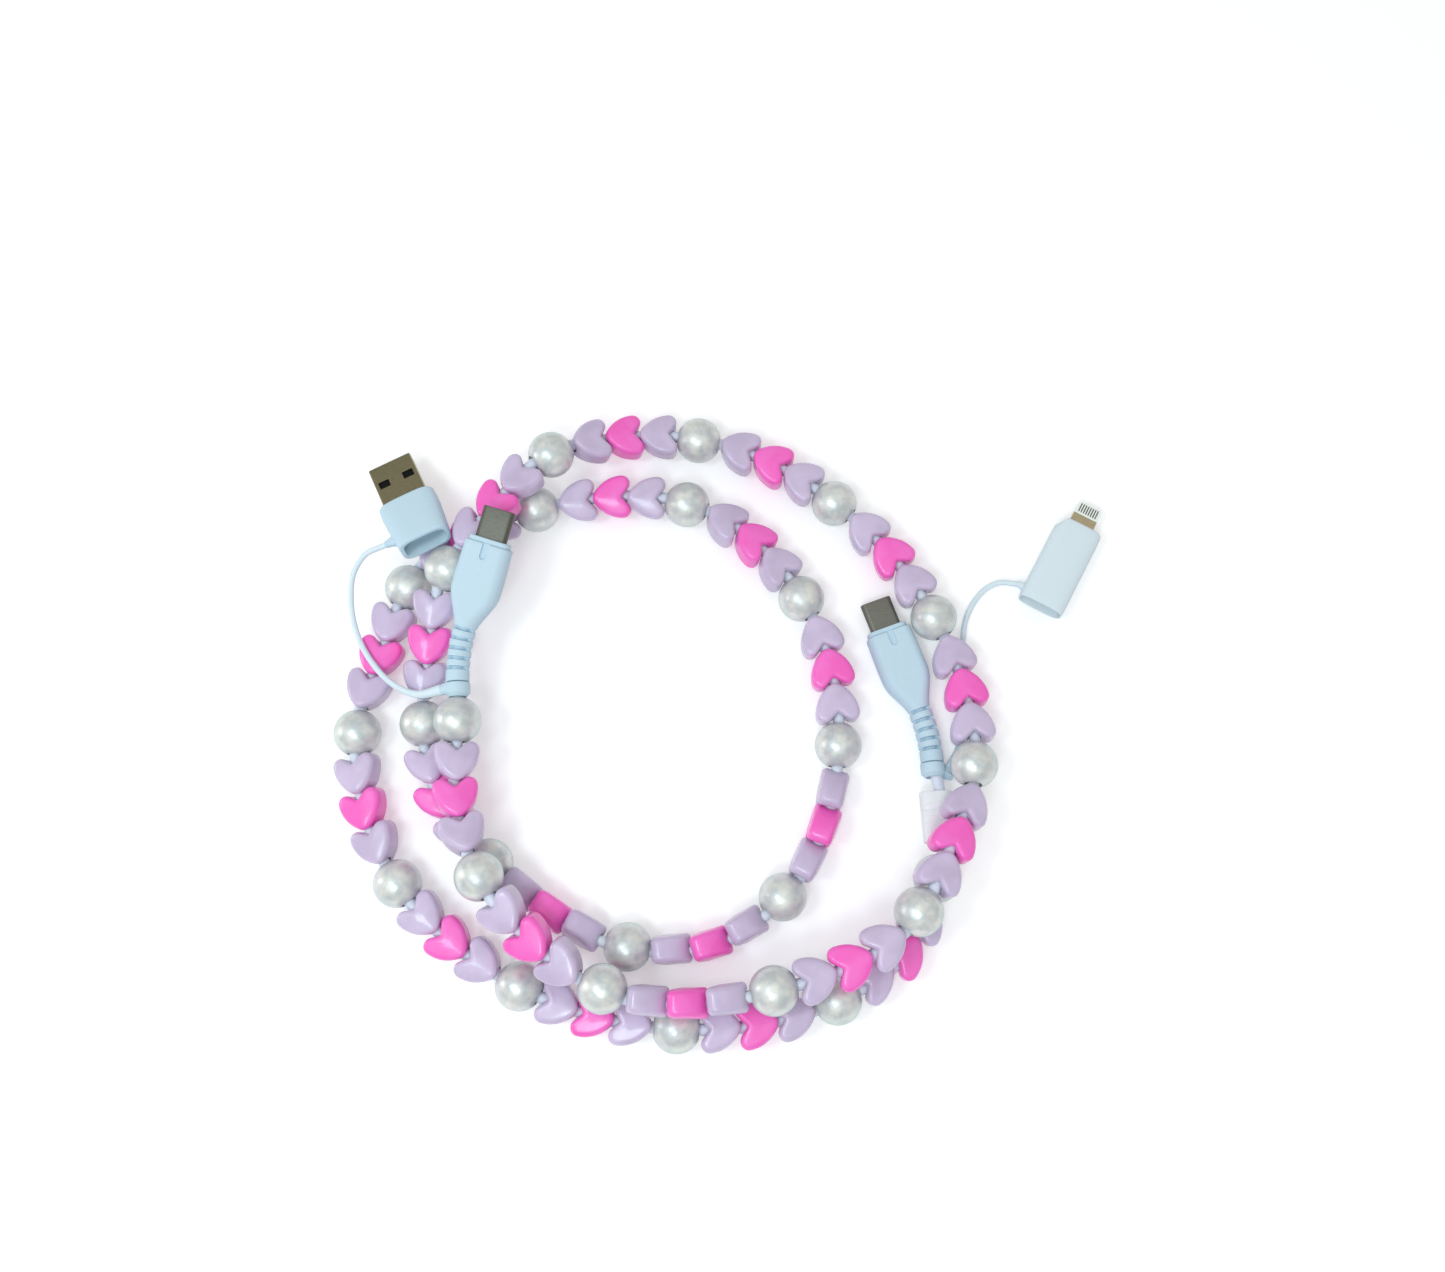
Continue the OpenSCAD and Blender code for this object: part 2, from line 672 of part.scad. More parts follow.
a_contact_w = 1;
a_contact_t = 0.15;
a_contact_pitch = 2.3;
a_contact_outer_l = 7.4; // the outer two contacts meet first
a_contact_inner_l = 6.4;
a_contact_back = 1.2;
module type_a_contacts() {
    color("#d8b46a")
    on_type_a()
        for (i = [-1.5, -0.5, 0.5, 1.5]) {
            reach = abs(i) > 1 ? a_contact_outer_l : a_contact_inner_l;
            translate([a_out - a_contact_back - reach, i * a_contact_pitch - a_contact_w / 2, a_block_top])
                cube([reach, a_contact_w, a_contact_t]);
        }
}
module type_a_socket_shell() { on_type_a() socket_shell(-a_body_l); }
module type_a_socket_tongue() { on_type_a() socket_tongue(-a_body_l); }

tab_in = 2.5;     // tab inside its housing
metal_l = 3.1;    // bare metal part of the tab outside the housing
tab_corner = 1.1;
module eight_contact_housing() {
    color("#d3e2ea")
    difference() {
        union() {
            on_eight() loft([
                for (st = [[-1, 0.95], [-0.975, 0.99], [-0.9, 1], [-0.1, 1], [-0.045, 0.95], [0, 0.8]])
                    [st[0] * e_body_l, st[1] * e_body_w, st[1] * e_body_t, 3.6]
            ], 40);
            boss(RIGHT_CURVE, EIGHT_AIM);
        }
        on_eight() {
            mouth(-e_body_l);
            along_x(-tab_in - fit, past) square([e_w + 2 * fit, e_t + 2 * fit], center = true);
        }
    }
}
module eight_contact_tab() {
    color("#b3a684") on_eight() along_x(-tab_in, metal_l) square([e_w, e_t], center = true);
}
finger_l = 2.5;
finger_w = 0.42;
finger_pitch = 0.68;
finger_sink = 0.1;
finger_proud = 0.04;
finger_back = 0.6; // fingers behind the front of the tab
module fingers() {
    for (i = [0 : 7], side = [-1, 1])
        translate([
            e_out - finger_back - finger_l / 2, (i - 3.5) * finger_pitch,
            side * (e_t / 2 + (finger_proud - finger_sink) / 2)
        ])
            cube([finger_l, finger_w, finger_sink + finger_proud], center = true);
}
module eight_contact_insert() {
    corner = [e_out - tab_corner, e_w / 2 - tab_corner];
    rim = arc(corner, tab_corner, 0, 90, 6);
    color("#f4fbf5")
    on_eight()
        difference() {
            translate([0, 0, -e_t / 2])
                linear_extrude(height = e_t) polygon(concat(
                    [[metal_l, -e_w / 2]], [for (i = [6 : -1 : 0]) [rim[i].x, -rim[i].y]],
                    rim, [[metal_l, e_w / 2]]
                ));
            fingers();
        }
}
module eight_contact_fingers() { color("#9a8f80") on_eight() fingers(); }
module eight_contact_socket_shell() { on_eight() socket_shell(-e_body_l); }
module eight_contact_socket_tongue() { on_eight() socket_tongue(-e_body_l); }

// ---- the part ----

translate(origin_shift) {
    main_cord();
    lavender_hearts();
    pink_hearts();
    cord_sleeve();
    left_plug_grip();
    left_strain_relief();
    left_plug_shell();
    left_plug_insulator();
    left_plug_contacts();
    left_plug_latches();
    left_plug_board();
    right_plug_grip();
    right_strain_relief();
    right_plug_shell();
    right_plug_insulator();
    right_plug_contacts();
    right_plug_latches();
    right_plug_board();
    left_strap_ring();
    left_strap();
    right_strap_ring();
    right_strap();
    type_a_housing();
    type_a_shell();
    type_a_insulator();
    type_a_contacts();
    type_a_socket_shell();
    type_a_socket_tongue();
    eight_contact_housing();
    eight_contact_tab();
    eight_contact_insert();
    eight_contact_fingers();
    eight_contact_socket_shell();
    eight_contact_socket_tongue();
    for (k = [0 : PEARLS - 1])
        pearl(k);
}
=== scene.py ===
import bpy
import numpy as np
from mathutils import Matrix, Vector


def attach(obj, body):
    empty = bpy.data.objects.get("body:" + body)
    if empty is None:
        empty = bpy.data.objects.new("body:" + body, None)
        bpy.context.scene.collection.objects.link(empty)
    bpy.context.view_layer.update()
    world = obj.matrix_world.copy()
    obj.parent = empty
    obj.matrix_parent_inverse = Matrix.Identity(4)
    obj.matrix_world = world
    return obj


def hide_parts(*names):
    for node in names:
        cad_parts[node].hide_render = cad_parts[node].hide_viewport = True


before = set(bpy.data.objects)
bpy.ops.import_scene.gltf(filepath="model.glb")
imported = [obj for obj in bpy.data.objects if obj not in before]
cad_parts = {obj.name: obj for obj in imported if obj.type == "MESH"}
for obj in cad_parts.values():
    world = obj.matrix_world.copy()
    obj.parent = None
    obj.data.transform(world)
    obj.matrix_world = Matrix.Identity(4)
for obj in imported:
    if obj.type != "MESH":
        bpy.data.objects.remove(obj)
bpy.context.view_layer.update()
mm = 0.001
print("frame loaded with", len(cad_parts), "nodes")

bpy.context.scene.view_settings.view_transform = "Standard"

# camera

cameraPlace = {
    "target": (-1.0, 23.55, 0.0),  # mm, on the floor
    "distance": 367.4,
    "elevation": 76.3,
    "lens": 34.33,
    "sensor": 36.0,
}


def newObject(name, data):
    thing = bpy.data.objects.new(name, data)
    bpy.context.scene.collection.objects.link(thing)
    return thing


def makeCamera(place):
    # looks along +y, down at the target from the given elevation
    e = np.radians(place["elevation"])
    data = bpy.data.cameras.new("camera")
    data.lens = place["lens"]
    data.sensor_width = place["sensor"]
    data.clip_start = 0.01
    camera = newObject("camera", data)
    back = np.array([0.0, -np.cos(e), np.sin(e)])
    camera.location = (np.array(place["target"]) + place["distance"] * back) * mm
    camera.rotation_euler = (np.pi / 2 - e, 0, 0)
    bpy.context.scene.camera = camera


makeCamera(cameraPlace)

# vectors, curves and frames, all in mm


def unit(v):
    # each vector over its length
    v = np.asarray(v, float)
    return v / np.linalg.norm(v, axis=-1, keepdims=True)


def sideOf(x):
    # level vector to the left of heading x
    flat = unit(np.asarray(x) * (1, 1, 0))
    return np.cross((0, 0, 1), flat)


def axesFrom(heading):
    # columns: along the heading, level to its left, and their cross product
    x = unit(heading)
    z = unit(np.cross(x, sideOf(heading)))
    return np.stack([x, np.cross(z, x), z], -1)


def rollBy(degrees):
    # turn about x, one matrix to each angle
    a = np.radians(np.asarray(degrees, float))
    c, s, o, l = np.cos(a), np.sin(a), np.zeros_like(a), np.ones_like(a)
    return np.stack([np.stack(row, -1) for row in ((l, o, o), (o, c, -s), (o, s, c))], -2)


def lineOf(points):
    # a polyline with the distance run at each point
    run = np.concatenate([[0], np.cumsum(np.linalg.norm(np.diff(points, axis=0), axis=1))])
    return {"s": run, "p": points, "length": run[-1]}


def placeOn(line, s):
    # points at distances s
    return np.stack([np.interp(s, line["s"], line["p"][:, k]) for k in range(3)], -1)


def headingOn(line, s, reach=0.5):
    # direction between the points a reach behind and ahead of s
    behind, ahead = np.maximum(s - reach, 0), np.minimum(s + reach, line["length"])
    return unit(placeOn(line, ahead) - placeOn(line, behind))


def smoothLine(points, steps):
    # cubic stretches between the points; each point's slope is the mean of its
    # neighbours' directions, weighted by the spacing on the other side
    d = np.linalg.norm(np.diff(points, axis=0), axis=1)
    v = np.diff(points, axis=0) / d[:, None]
    inner = (v[1:] * d[:-1, None] + v[:-1] * d[1:, None]) / (d[1:] + d[:-1])[:, None]
    slope = np.vstack([v[:1], inner, v[-1:]])
    t = (np.arange(steps) / steps)[None, :, None]
    a, b = points[:-1, None], points[1:, None]
    da, db = (d[:, None] * slope[:-1])[:, None], (d[:, None] * slope[1:])[:, None]
    run = ((2 * t**3 - 3 * t**2 + 1) * a + (t**3 - 2 * t**2 + t) * da
           + (3 * t**2 - 2 * t**3) * b + (t**3 - t**2) * db)
    return lineOf(np.vstack([run.reshape(-1, 3), points[-1:]]))


# routes, in metres

routeShift = np.array([-0.0012, -0.00005, 0])
cordRoute = np.array([
    (-0.067, 0.008, 0.0146), (-0.0665, -0.002, 0.0145), (-0.066, -0.023, 0.0151),
    (-0.058, -0.043, 0.0187), (-0.045, -0.057, 0.0182), (-0.028, -0.068, 0.0172),
    (0.012, -0.068, 0.0172), (0.047, -0.051, 0.018), (0.056, -0.034, 0.0165),
    (0.064, -0.014, 0.011), (0.063, 0.007, 0.007), (0.0563, 0.0262, 0.0062),
    (0.03, 0.059, 0.0062), (-0.007, 0.077, 0.0063), (-0.027, 0.077, 0.0072),
    (-0.046, 0.07, 0.0136), (-0.0594, 0.0548, 0.0156), (-0.0728, 0.0352, 0.0135),
    (-0.0757, 0.017, 0.0096), (-0.077, -0.003, 0.0064), (-0.072, -0.021, 0.0062),
    (-0.056, -0.039, 0.0062), (-0.022, -0.058, 0.0062), (-0.002, -0.057, 0.0062),
    (0.015, -0.046, 0.0062), (0.03, -0.009, 0.0062), (0.022, 0.031, 0.0062),
    (-0.007, 0.058, 0.0062), (-0.046, 0.058, 0.0062), (-0.082, 0.038, 0.0062),
    (-0.088, 0.02, 0.0062), (-0.094, -0.001, 0.0062), (-0.083, -0.04, 0.0062),
    (-0.052, -0.066, 0.0062), (-0.013, -0.077, 0.0062), (0.027, -0.071, 0.0062),
    (0.045, -0.06, 0.0062), (0.055, -0.038, 0.0062), (0.0558, -0.018, 0.0044),
    (0.0543, -0.011, 0.004),
])
leftStrapRoute = np.array([
    (-0.071, 0.006, 0.0146), (-0.077, 0.005, 0.0136), (-0.084, 0.008, 0.0124),
    (-0.09, 0.014, 0.0112), (-0.0946, 0.022, 0.0102), (-0.0964, 0.03, 0.0108),
    (-0.0956, 0.038, 0.0124), (-0.0924, 0.0422, 0.014), (-0.0882, 0.0438, 0.015),
])
rightStrapRoute = np.array([
    (0.0587, -0.0126, 0.0034), (0.0615, -0.0075, 0.0015), (0.063, 0.002, 0.0009),
    (0.064, 0.012, 0.0009), (0.064, 0.021, 0.0009), (0.0655, 0.029, 0.0009),
    (0.068, 0.0335, 0.0009), (0.071, 0.0365, 0.0012), (0.0743, 0.0376, 0.0028),
    (0.0776, 0.0372, 0.0032),
])
cordCurve = smoothLine((cordRoute + routeShift) / mm, 24)
leftCurve = smoothLine((leftStrapRoute + routeShift) / mm, 8)
rightCurve = smoothLine((rightStrapRoute + routeShift) / mm, 8)

# where the beads sit on the cord

string = {
    "pearls": 26, "pearlD": 12.1, "pearlBoreD": 4.4,
    "heartHalf": 4.0,                         # half the length that a heart spans on the cord
    "steps": (10.7, 9.1, 9.1, 10.8),          # pearl, heart, heart, heart, pearl
    "spread": (0.05, 0.032, 0.032, 0.02),     # mm more per degree of bend
    "edgeOn": (0.01, 0.03, 0.03, 0.04),       # the same again for hearts that lie on edge
    "looseFrom": 4, "looseGroups": 6, "play": 0.5,  # groups strung with this much more, in mm
    "clearance": 0.3,                         # beside whatever turns or slides
    "ringL": 3.6,
    # turn of each group's hearts about the cord, in degrees
    "roll": (-12, 20, 90, 0, 6, 0, -6, 0, 0, 5, 0, 0, 78,
             90, 90, 0, 14, -20, -22, 0, 14, 4, 0, 0, 0),
}
pearlHalf = np.sqrt(string["pearlD"]**2 - string["pearlBoreD"]**2) / 2


def stringBeads(q):
    # each bead's distance along the cord: the last one's, a step, and more where the cord bends
    s = [q["clearance"] + q["ringL"] + q["clearance"] + pearlHalf]
    for i in range(4 * (q["pearls"] - 1)):
        k, group = i % 4, i // 4
        step = q["steps"][k]
        here, there = headingOn(cordCurve, s[i]), headingOn(cordCurve, s[i] + step)
        bend = np.degrees(np.arccos(min(here @ there, 1)))
        onEdge = np.sin(np.radians(q["roll"][group]))**2
        loose = q["looseFrom"] <= group < q["looseFrom"] + q["looseGroups"]
        s.append(s[i] + step + (q["spread"][k] + q["edgeOn"][k] * onEdge) * bend
                 + (q["play"] / 4 if loose else 0))
    return np.array(s)


beadAt = stringBeads(string)
pearlAt = beadAt[::4]
heartAt = np.stack([beadAt[1::4], beadAt[2::4], beadAt[3::4]], 1)  # one row per group
# the cord runs straight through each bead and turns between them
turns = np.concatenate([[0], pearlAt - pearlHalf, pearlAt + pearlHalf, heartAt[:, 1],
                        [cordCurve["length"]]])
turns.sort()
cordLine = {"s": turns, "p": placeOn(cordCurve, turns), "length": cordCurve["length"]}


def beadFrames(s, half, roll=0.0):
    # centres and axes of beads of that half length at distances s along the cord
    s = np.atleast_1d(s)
    a, b = placeOn(cordLine, s - half), placeOn(cordLine, s + half)
    axes = axesFrom(b - a)
    return (a + b) / 4 + placeOn(cordLine, s) / 2, axes @ rollBy(roll)


print("strung", len(beadAt), "beads on", round(cordCurve["length"]), "mm of cord")

# meshes


def gridFaces(rows, cols, closeRows=False):
    # four-sided faces between neighbours of a grid of points; each row closes on itself
    i = np.arange(rows if closeRows else rows - 1)[:, None]
    j = np.arange(cols)[None, :]
    i2, j2 = (i + 1) % rows, (j + 1) % cols
    quads = np.stack([i * cols + j, i * cols + j2, i2 * cols + j2, i2 * cols + j], -1)
    return quads.reshape(-1, 4).tolist()


def signedVolume(verts, faces):
    # sum of the tetrahedra from the origin to each face's fan of triangles
    fans = np.array([(f[0], f[k], f[k + 1]) for f in faces for k in range(1, len(f) - 1)])
    a, b, c = verts[fans[:, 0]], verts[fans[:, 1]], verts[fans[:, 2]]
    return float((a * np.cross(b, c)).sum()) / 6


def outward(verts, faces):
    # the same faces, turned round if they enclose a negative volume
    return [f[::-1] for f in faces] if signedVolume(verts, faces) < 0 else faces


def ringBody(rings, closeRows=False):
    # a closed body through rings of points, with flat ends unless it closes on itself
    rows, cols = rings.shape[:2]
    verts = rings.reshape(-1, 3)
    faces = gridFaces(rows, cols, closeRows)
    if not closeRows:
        faces += [list(range(cols - 1, -1, -1)), list(range((rows - 1) * cols, rows * cols))]
    return verts, outward(verts, faces)


def joined(bodies):
    # several bodies as one
    verts, faces, start = [], [], 0
    for v, f in bodies:
        verts.append(v)
        faces += [[k + start for k in face] for face in f]
        start += len(v)
    return np.vstack(verts), faces


def putAt(body, centre, axes):
    # each point p goes to axes p + centre
    return body[0] @ np.asarray(axes).T + centre, body[1]


def copies(body, centres, axes):
    # the same body at several centres and axes, as one body
    verts, faces = body
    moved = np.einsum("nij,vj->nvi", axes, verts) + centres[:, None]
    every = [[k + n * len(verts) for k in f] for n in range(len(centres)) for f in faces]
    return moved.reshape(-1, 3), every


def makePiece(name, body, material, sharpAngle=38.0):
    # a mesh object at the origin
    verts, faces = body
    mesh = bpy.data.meshes.new(name)
    mesh.from_pydata((verts * mm).tolist(), [], faces)
    mesh.materials.append(material)
    mesh.shade_smooth()
    mesh.set_sharp_from_angle(angle=np.radians(sharpAngle))
    return newObject(name, mesh)


def cutBody(body, cutters):
    # body less each cutter, by Blender's exact boolean
    temps = []
    for k, part in enumerate([body] + cutters):
        mesh = bpy.data.meshes.new("cut%d" % k)
        mesh.from_pydata(part[0].tolist(), [], outward(*part))
        temps.append(newObject("cut%d" % k, mesh))
    for cutter in temps[1:]:
        cut = temps[0].modifiers.new("cut", "BOOLEAN")
        cut.operation, cut.solver, cut.object = "DIFFERENCE", "EXACT", cutter
    bpy.context.view_layer.update()
    result = temps[0].evaluated_get(bpy.context.evaluated_depsgraph_get()).to_mesh()
    verts = np.zeros(len(result.vertices) * 3)
    result.vertices.foreach_get("co", verts)
    faces = [list(p.vertices) for p in result.polygons]
    for temp in temps:
        bpy.data.objects.remove(temp)
    return verts.reshape(-1, 3), faces


def softBox(w, t, power, n):
    # rounded rectangle |y/a|^p + |z/b|^p = 1, as n points round
    a = 2 * np.pi * (np.arange(n) + 0.5) / n
    c, s = np.cos(a), np.sin(a)
    y, z = np.sign(c) * w / 2 * abs(c)**(2 / power), np.sign(s) * t / 2 * abs(s)**(2 / power)
    return np.stack([y, z], -1)


def roundBox(w, t, r, n):
    # rectangle with corner arcs of radius r, n points to each arc
    a = np.linspace(0, np.pi / 2, n)
    y, z = w / 2 - r, t / 2 - r
    corners = (y, z), (-y, z), (-y, -z), (y, -z)
    return np.vstack([np.stack([cy + r * np.cos(a + k * np.pi / 2),
                                cz + r * np.sin(a + k * np.pi / 2)], -1)
                      for k, (cy, cz) in enumerate(corners)])


def stadium(w, t, n=14):
    # half circles joined by straight runs; a hair less radius keeps the arcs' ends apart
    return roundBox(w, t, t / 2 - 1e-4, n)


def stations(rows):
    # rings of points from (x, outline) pairs, outline across x
    return np.array([np.column_stack([np.full(len(o), x), o]) for x, o in rows])


def prism(x0, x1, outline):
    # one outline from x0 to x1
    return ringBody(stations([(x0, outline), (x1, outline)]))


def spokes(a, y, z):
    # y cos a + z sin a, for each pair of rows of y and z
    return np.cos(a)[None, :, None] * y[:, None] + np.sin(a)[None, :, None] * z[:, None]


def tubeAlong(line, radii, spacing, sides, reach=0.0):
    # round tube on a line, radius a function of the distance run
    s = np.linspace(0, line["length"], max(int(line["length"] / spacing), 8))
    p, x = placeOn(line, s), headingOn(line, s)
    if reach:
        p, x = np.vstack([p, p[-1] + reach * x[-1]]), np.vstack([x, x[-1:]])
        s = np.append(s, s[-1] + reach)
    y = unit(sideOf(x))
    a = 2 * np.pi * np.arange(sides) / sides
    return ringBody(p[:, None] + radii(s)[:, None, None] * spokes(a, y, np.cross(x, y))), p


def revolve(profile, sides):
    # a closed profile of (x, r) points turned about the x axis
    a = 2 * np.pi * np.arange(sides) / sides
    x = np.repeat(profile[:, :1], sides, 1)
    rings = np.stack([x, profile[:, 1:] * np.cos(a), profile[:, 1:] * np.sin(a)], -1)
    verts, faces = rings.reshape(-1, 3), gridFaces(len(profile), sides, closeRows=True)
    return verts, outward(verts, faces)


def arc(centre, r, start, end, n):
    # n points from one angle to the other, in degrees
    a = np.radians(np.linspace(start, end, n))
    return np.asarray(centre) + r * np.stack([np.cos(a), np.sin(a)], -1)


# materials


def hexColor(text):
    # sRGB hex to linear: c/12.92 near black, ((c + 0.055)/1.055)^2.4 above
    c = np.array([int(text[k:k + 2], 16) for k in (1, 3, 5)]) / 255
    return (*np.where(c <= 0.04045, c / 12.92, ((c + 0.055) / 1.055)**2.4), 1.0)


def addNode(tree, kind, inputs=(), **settings):
    # one node with its settings; inputs are (socket, value or output to link)
    node = tree.nodes.new("ShaderNode" + kind)
    for key, value in settings.items():
        setattr(node, key, value)
    for socket, value in inputs:
        if isinstance(value, bpy.types.NodeSocket):
            tree.links.new(value, node.inputs[socket])
        else:
            node.inputs[socket].default_value = value
    return node


def emptyTree(data):
    # cleared nodes of a material or a world
    data.use_nodes = True
    data.node_tree.nodes.clear()
    return data.node_tree


def newMaterial(name, inputs, pattern):
    # Principled surface; pattern adds its nodes and returns more (socket, output) pairs
    material = bpy.data.materials.new(name)
    tree = emptyTree(material)
    shader = addNode(tree, "BsdfPrincipled", inputs + pattern(tree))
    addNode(tree, "OutputMaterial", [("Surface", shader.outputs["BSDF"])])
    return material


def perMetre(sizeMm):
    # noise scale whose features are about sizeMm across
    return 1 / (sizeMm * mm)


def mixed(tree, factor, a, b):
    # colour a at factor 0, b at 1
    return addNode(tree, "Mix", [(0, factor), (6, a), (7, b)], data_type="RGBA").outputs[2]


def noiseOn(tree, sizeMm, detail=2.0, low=0.4, high=0.6):
    # noise on the object's own coordinates, stretched between low and high to 0..1
    at = addNode(tree, "TexCoord").outputs["Object"]
    noise = addNode(tree, "TexNoise", [("Vector", at), ("Scale", perMetre(sizeMm)),
                                       ("Detail", detail)]).outputs["Fac"]
    return addNode(tree, "MapRange", [("Value", noise), ("From Min", low),
                                      ("From Max", high)]).outputs["Result"]


def bumpFrom(tree, height, depthMm):
    # normals of a relief depthMm deep
    return addNode(tree, "Bump", [("Height", height), ("Distance", depthMm * mm),
                                  ("Strength", 1.0)]).outputs["Normal"]


def pearlPattern(tree):
    cloud = noiseOn(tree, 2.6, 3.0, 0.35, 0.65)     # drifts of pigment in the lacquer
    grain = noiseOn(tree, 0.7, 2.0, 0.3, 0.7)
    body = mixed(tree, cloud, hexColor("#EDEDE4"), hexColor("#CCD2D1"))
    wide = noiseOn(tree, 6.0, 1.0, 0.42, 0.58)      # painted sheen: rose and green drifts, mixed in towards the rims where the surface is seen at a slant
    tint = mixed(tree, wide, hexColor("#DFD3D8"), hexColor("#D0D6D2"))
    # painted sheen: the base colour turns to the rose and green tint towards the rims
    rimSheenShare = addNode(tree, "LayerWeight", [("Blend", 0.3)]).outputs["Facing"]
    return [("Base Color", mixed(tree, rimSheenShare, body, tint)),
            ("Normal", bumpFrom(tree, mixed(tree, 0.3, cloud, grain), 0.05))]


# pearl lacquer over moulded ABS: metallic flake gives the broad gleam under a thin clear gloss
pearlLacquer = newMaterial("pearlLacquerOnAbs", [
    ("Roughness", 0.4), ("IOR", 1.53), ("Metallic", 0.4), ("Specular Tint", hexColor("#CDF6F8")),
    ("Coat Weight", 0.45), ("Coat Roughness", 0.22), ("Coat IOR", 1.5),
    ("Thin Film Thickness", 330.0), ("Thin Film IOR", 1.4)], pearlPattern)


def resinPattern(deep, pale):
    def build(tree):
        swirl = noiseOn(tree, 7.0, 2.0)  # pigment stirred in by hand, about a bead across
        return [("Base Color", mixed(tree, swirl, hexColor(deep), hexColor(pale)))]
    return build


# milky polyester resin, tumbled to a gloss: light enters and softens its edges
lavenderResin = newMaterial("milkyLavenderResin", [
    ("Roughness", 0.36), ("IOR", 1.54), ("Subsurface Weight", 0.4),
    ("Subsurface Radius", (1.0, 0.8, 1.0)), ("Subsurface Scale", 1.5 * mm),
    ("Coat Weight", 0.4), ("Coat Roughness", 0.1)], resinPattern("#C9B9D5", "#D3C3DF"))
# opaque dyed resin with the same tumbled gloss
pinkResin = newMaterial("opaquePinkResin", [
    ("Roughness", 0.36), ("IOR", 1.54), ("Subsurface Weight", 0.15),
    ("Subsurface Radius", (1.0, 0.4, 0.6)), ("Subsurface Scale", 1.0 * mm),
    ("Coat Weight", 0.4), ("Coat Roughness", 0.1)], resinPattern("#FF62C6", "#FF70CE"))


def mouldedPattern(deep, pale, grainMm, depthMm):
    # grain of the tool, in colour and in depth
    def build(tree):
        grain = noiseOn(tree, grainMm, 2.0, 0.3, 0.7)
        return [("Base Color", mixed(tree, grain, hexColor(deep), hexColor(pale))),
                ("Normal", bumpFrom(tree, grain, depthMm))]
    return build


# soft TPE over-moulding from a spark-textured tool: even, satin, a faint 0.3 mm grain
satinTpe = [("Roughness", 0.55), ("IOR", 1.48), ("Specular IOR Level", 0.2)]
iceBlueTpe = newMaterial("mouldedIceBlueTpe", satinTpe,
                         mouldedPattern("#C2DBE9", "#CBE1ED", 0.3, 0.012))
# the same TPE in a lighter copy: painted light, for the housing that is lit brighter
litIceTpeCopy = newMaterial("mouldedIceTpeLitCopy", satinTpe,
                      mouldedPattern("#DAE9F0", "#E2EEF4", 0.3, 0.012))
# the same in a thin section, which lets some light through
thinTpe = newMaterial("thinIceBlueTpe", [
    ("Roughness", 0.4), ("IOR", 1.48), ("Subsurface Weight", 0.3),
    ("Subsurface Scale", 0.8 * mm)], mouldedPattern("#D9EBF4", "#E2F0F7", 0.3, 0.01))
# extruded TPE jacket: smoother, with a slight drag from the die
cordJacket = newMaterial("extrudedTpeJacket", [("Roughness", 0.4), ("IOR", 1.48)],
                         mouldedPattern("#DCE2F2", "#E4E9F5", 0.5, 0.01))
# pressed PVC sleeve, white and slightly waxy
pressedPvc = newMaterial("pressedWhitePvc", [("Roughness", 0.35), ("IOR", 1.53)],
                         mouldedPattern("#EEF1F3", "#F6F8F9", 0.8, 0.01))
# glass-filled connector plastics: the black one matt, the white one with a slight gloss
blackPbt = newMaterial("mouldedBlackPbt", [
    ("Roughness", 0.7), ("IOR", 1.57), ("Specular IOR Level", 0.1)],
    mouldedPattern("#0E0F10", "#161718", 0.2, 0.006))
whiteNylon = newMaterial("mouldedWhiteNylon", [("Roughness", 0.35), ("IOR", 1.53)],
                         mouldedPattern("#EDF5F0", "#F6FCF8", 0.2, 0.005))
# green mask over woven glass
circuitBoard = newMaterial("solderMaskedFibreglass", [("Roughness", 0.35), ("IOR", 1.55)],
                           mouldedPattern("#28603F", "#33724C", 0.4, 0.01))


def brushedPattern(deep, pale, turn, lineMm, lengthMm, smooth=0.24, dull=0.38):
    # streaks in colour, gloss and depth; the Mapping node scales before it turns, so they lie
    # along x, and turn only picks another part of the noise
    def build(tree):
        at = addNode(tree, "TexCoord").outputs["Object"]
        across = perMetre(lineMm)
        stretched = addNode(tree, "Mapping", [
            ("Vector", at), ("Rotation", (0, 0, -np.radians(turn))),
            ("Scale", (perMetre(lengthMm), across, across))]).outputs["Vector"]
        noise = addNode(tree, "TexNoise", [("Vector", stretched), ("Scale", 1.0),
                                           ("Detail", 3.0)]).outputs["Fac"]
        streak = addNode(tree, "MapRange", [("Value", noise), ("From Min", 0.35),
                                            ("From Max", 0.65)]).outputs["Result"]
        rough = addNode(tree, "MapRange", [("Value", noise), ("To Min", smooth),
                                           ("To Max", dull)]).outputs["Result"]
        return [("Base Color", mixed(tree, streak, hexColor(deep), hexColor(pale))),
                ("Roughness", rough), ("Normal", bumpFrom(tree, streak, 0.004))]
    return build


def metal(name, *look, metallic=1.0):
    # look is what brushedPattern takes
    return newMaterial(name, [("Metallic", metallic)], brushedPattern(*look))


# deep-drawn stainless tube, nickel plated: warm grey, broken by fine die lines; one steel in two
# shades, the left copy darker: painted shade
plugSteelShadedLeft = metal("drawnNickelSteelShadedLeft", "#64645C", "#74746B", 72, 0.12, 3.0, 0.45, 0.58)
plugSteelRight = metal("drawnNickelSteelRight", "#7A7A70", "#8A8A80", 110, 0.12, 3.0, 0.5, 0.6)
# folded tin-plated steel, warmer
foldedSteel = metal("foldedTinnedSteel", "#8B8464", "#9A9374", 117, 0.15, 3.0)
# palladium plating, the palest of the metals
tabSteel = metal("palladiumPlatedTab", "#B3A684", "#C2B594", 61, 0.1, 2.0)
# bright nickel inside the sockets
socketSteel = metal("nickelPlatedSocket", "#A9ABAD", "#BBBDBF", 60, 0.1, 2.0)
# flash gold on copper alloy
contactGold = metal("flashGoldContact", "#CFA95C", "#DEBB74", 70, 0.08, 1.0)
# dark worn rhodium on the narrow contacts
fingerMetal = metal("wornRhodiumFinger", "#5E4F3F", "#74644F", 61, 0.08, 1.0, metallic=0.6)
print("materials made")

# cord and straps

cordSizes = {"d": 3.0, "sides": 20, "spacing": 1.5}
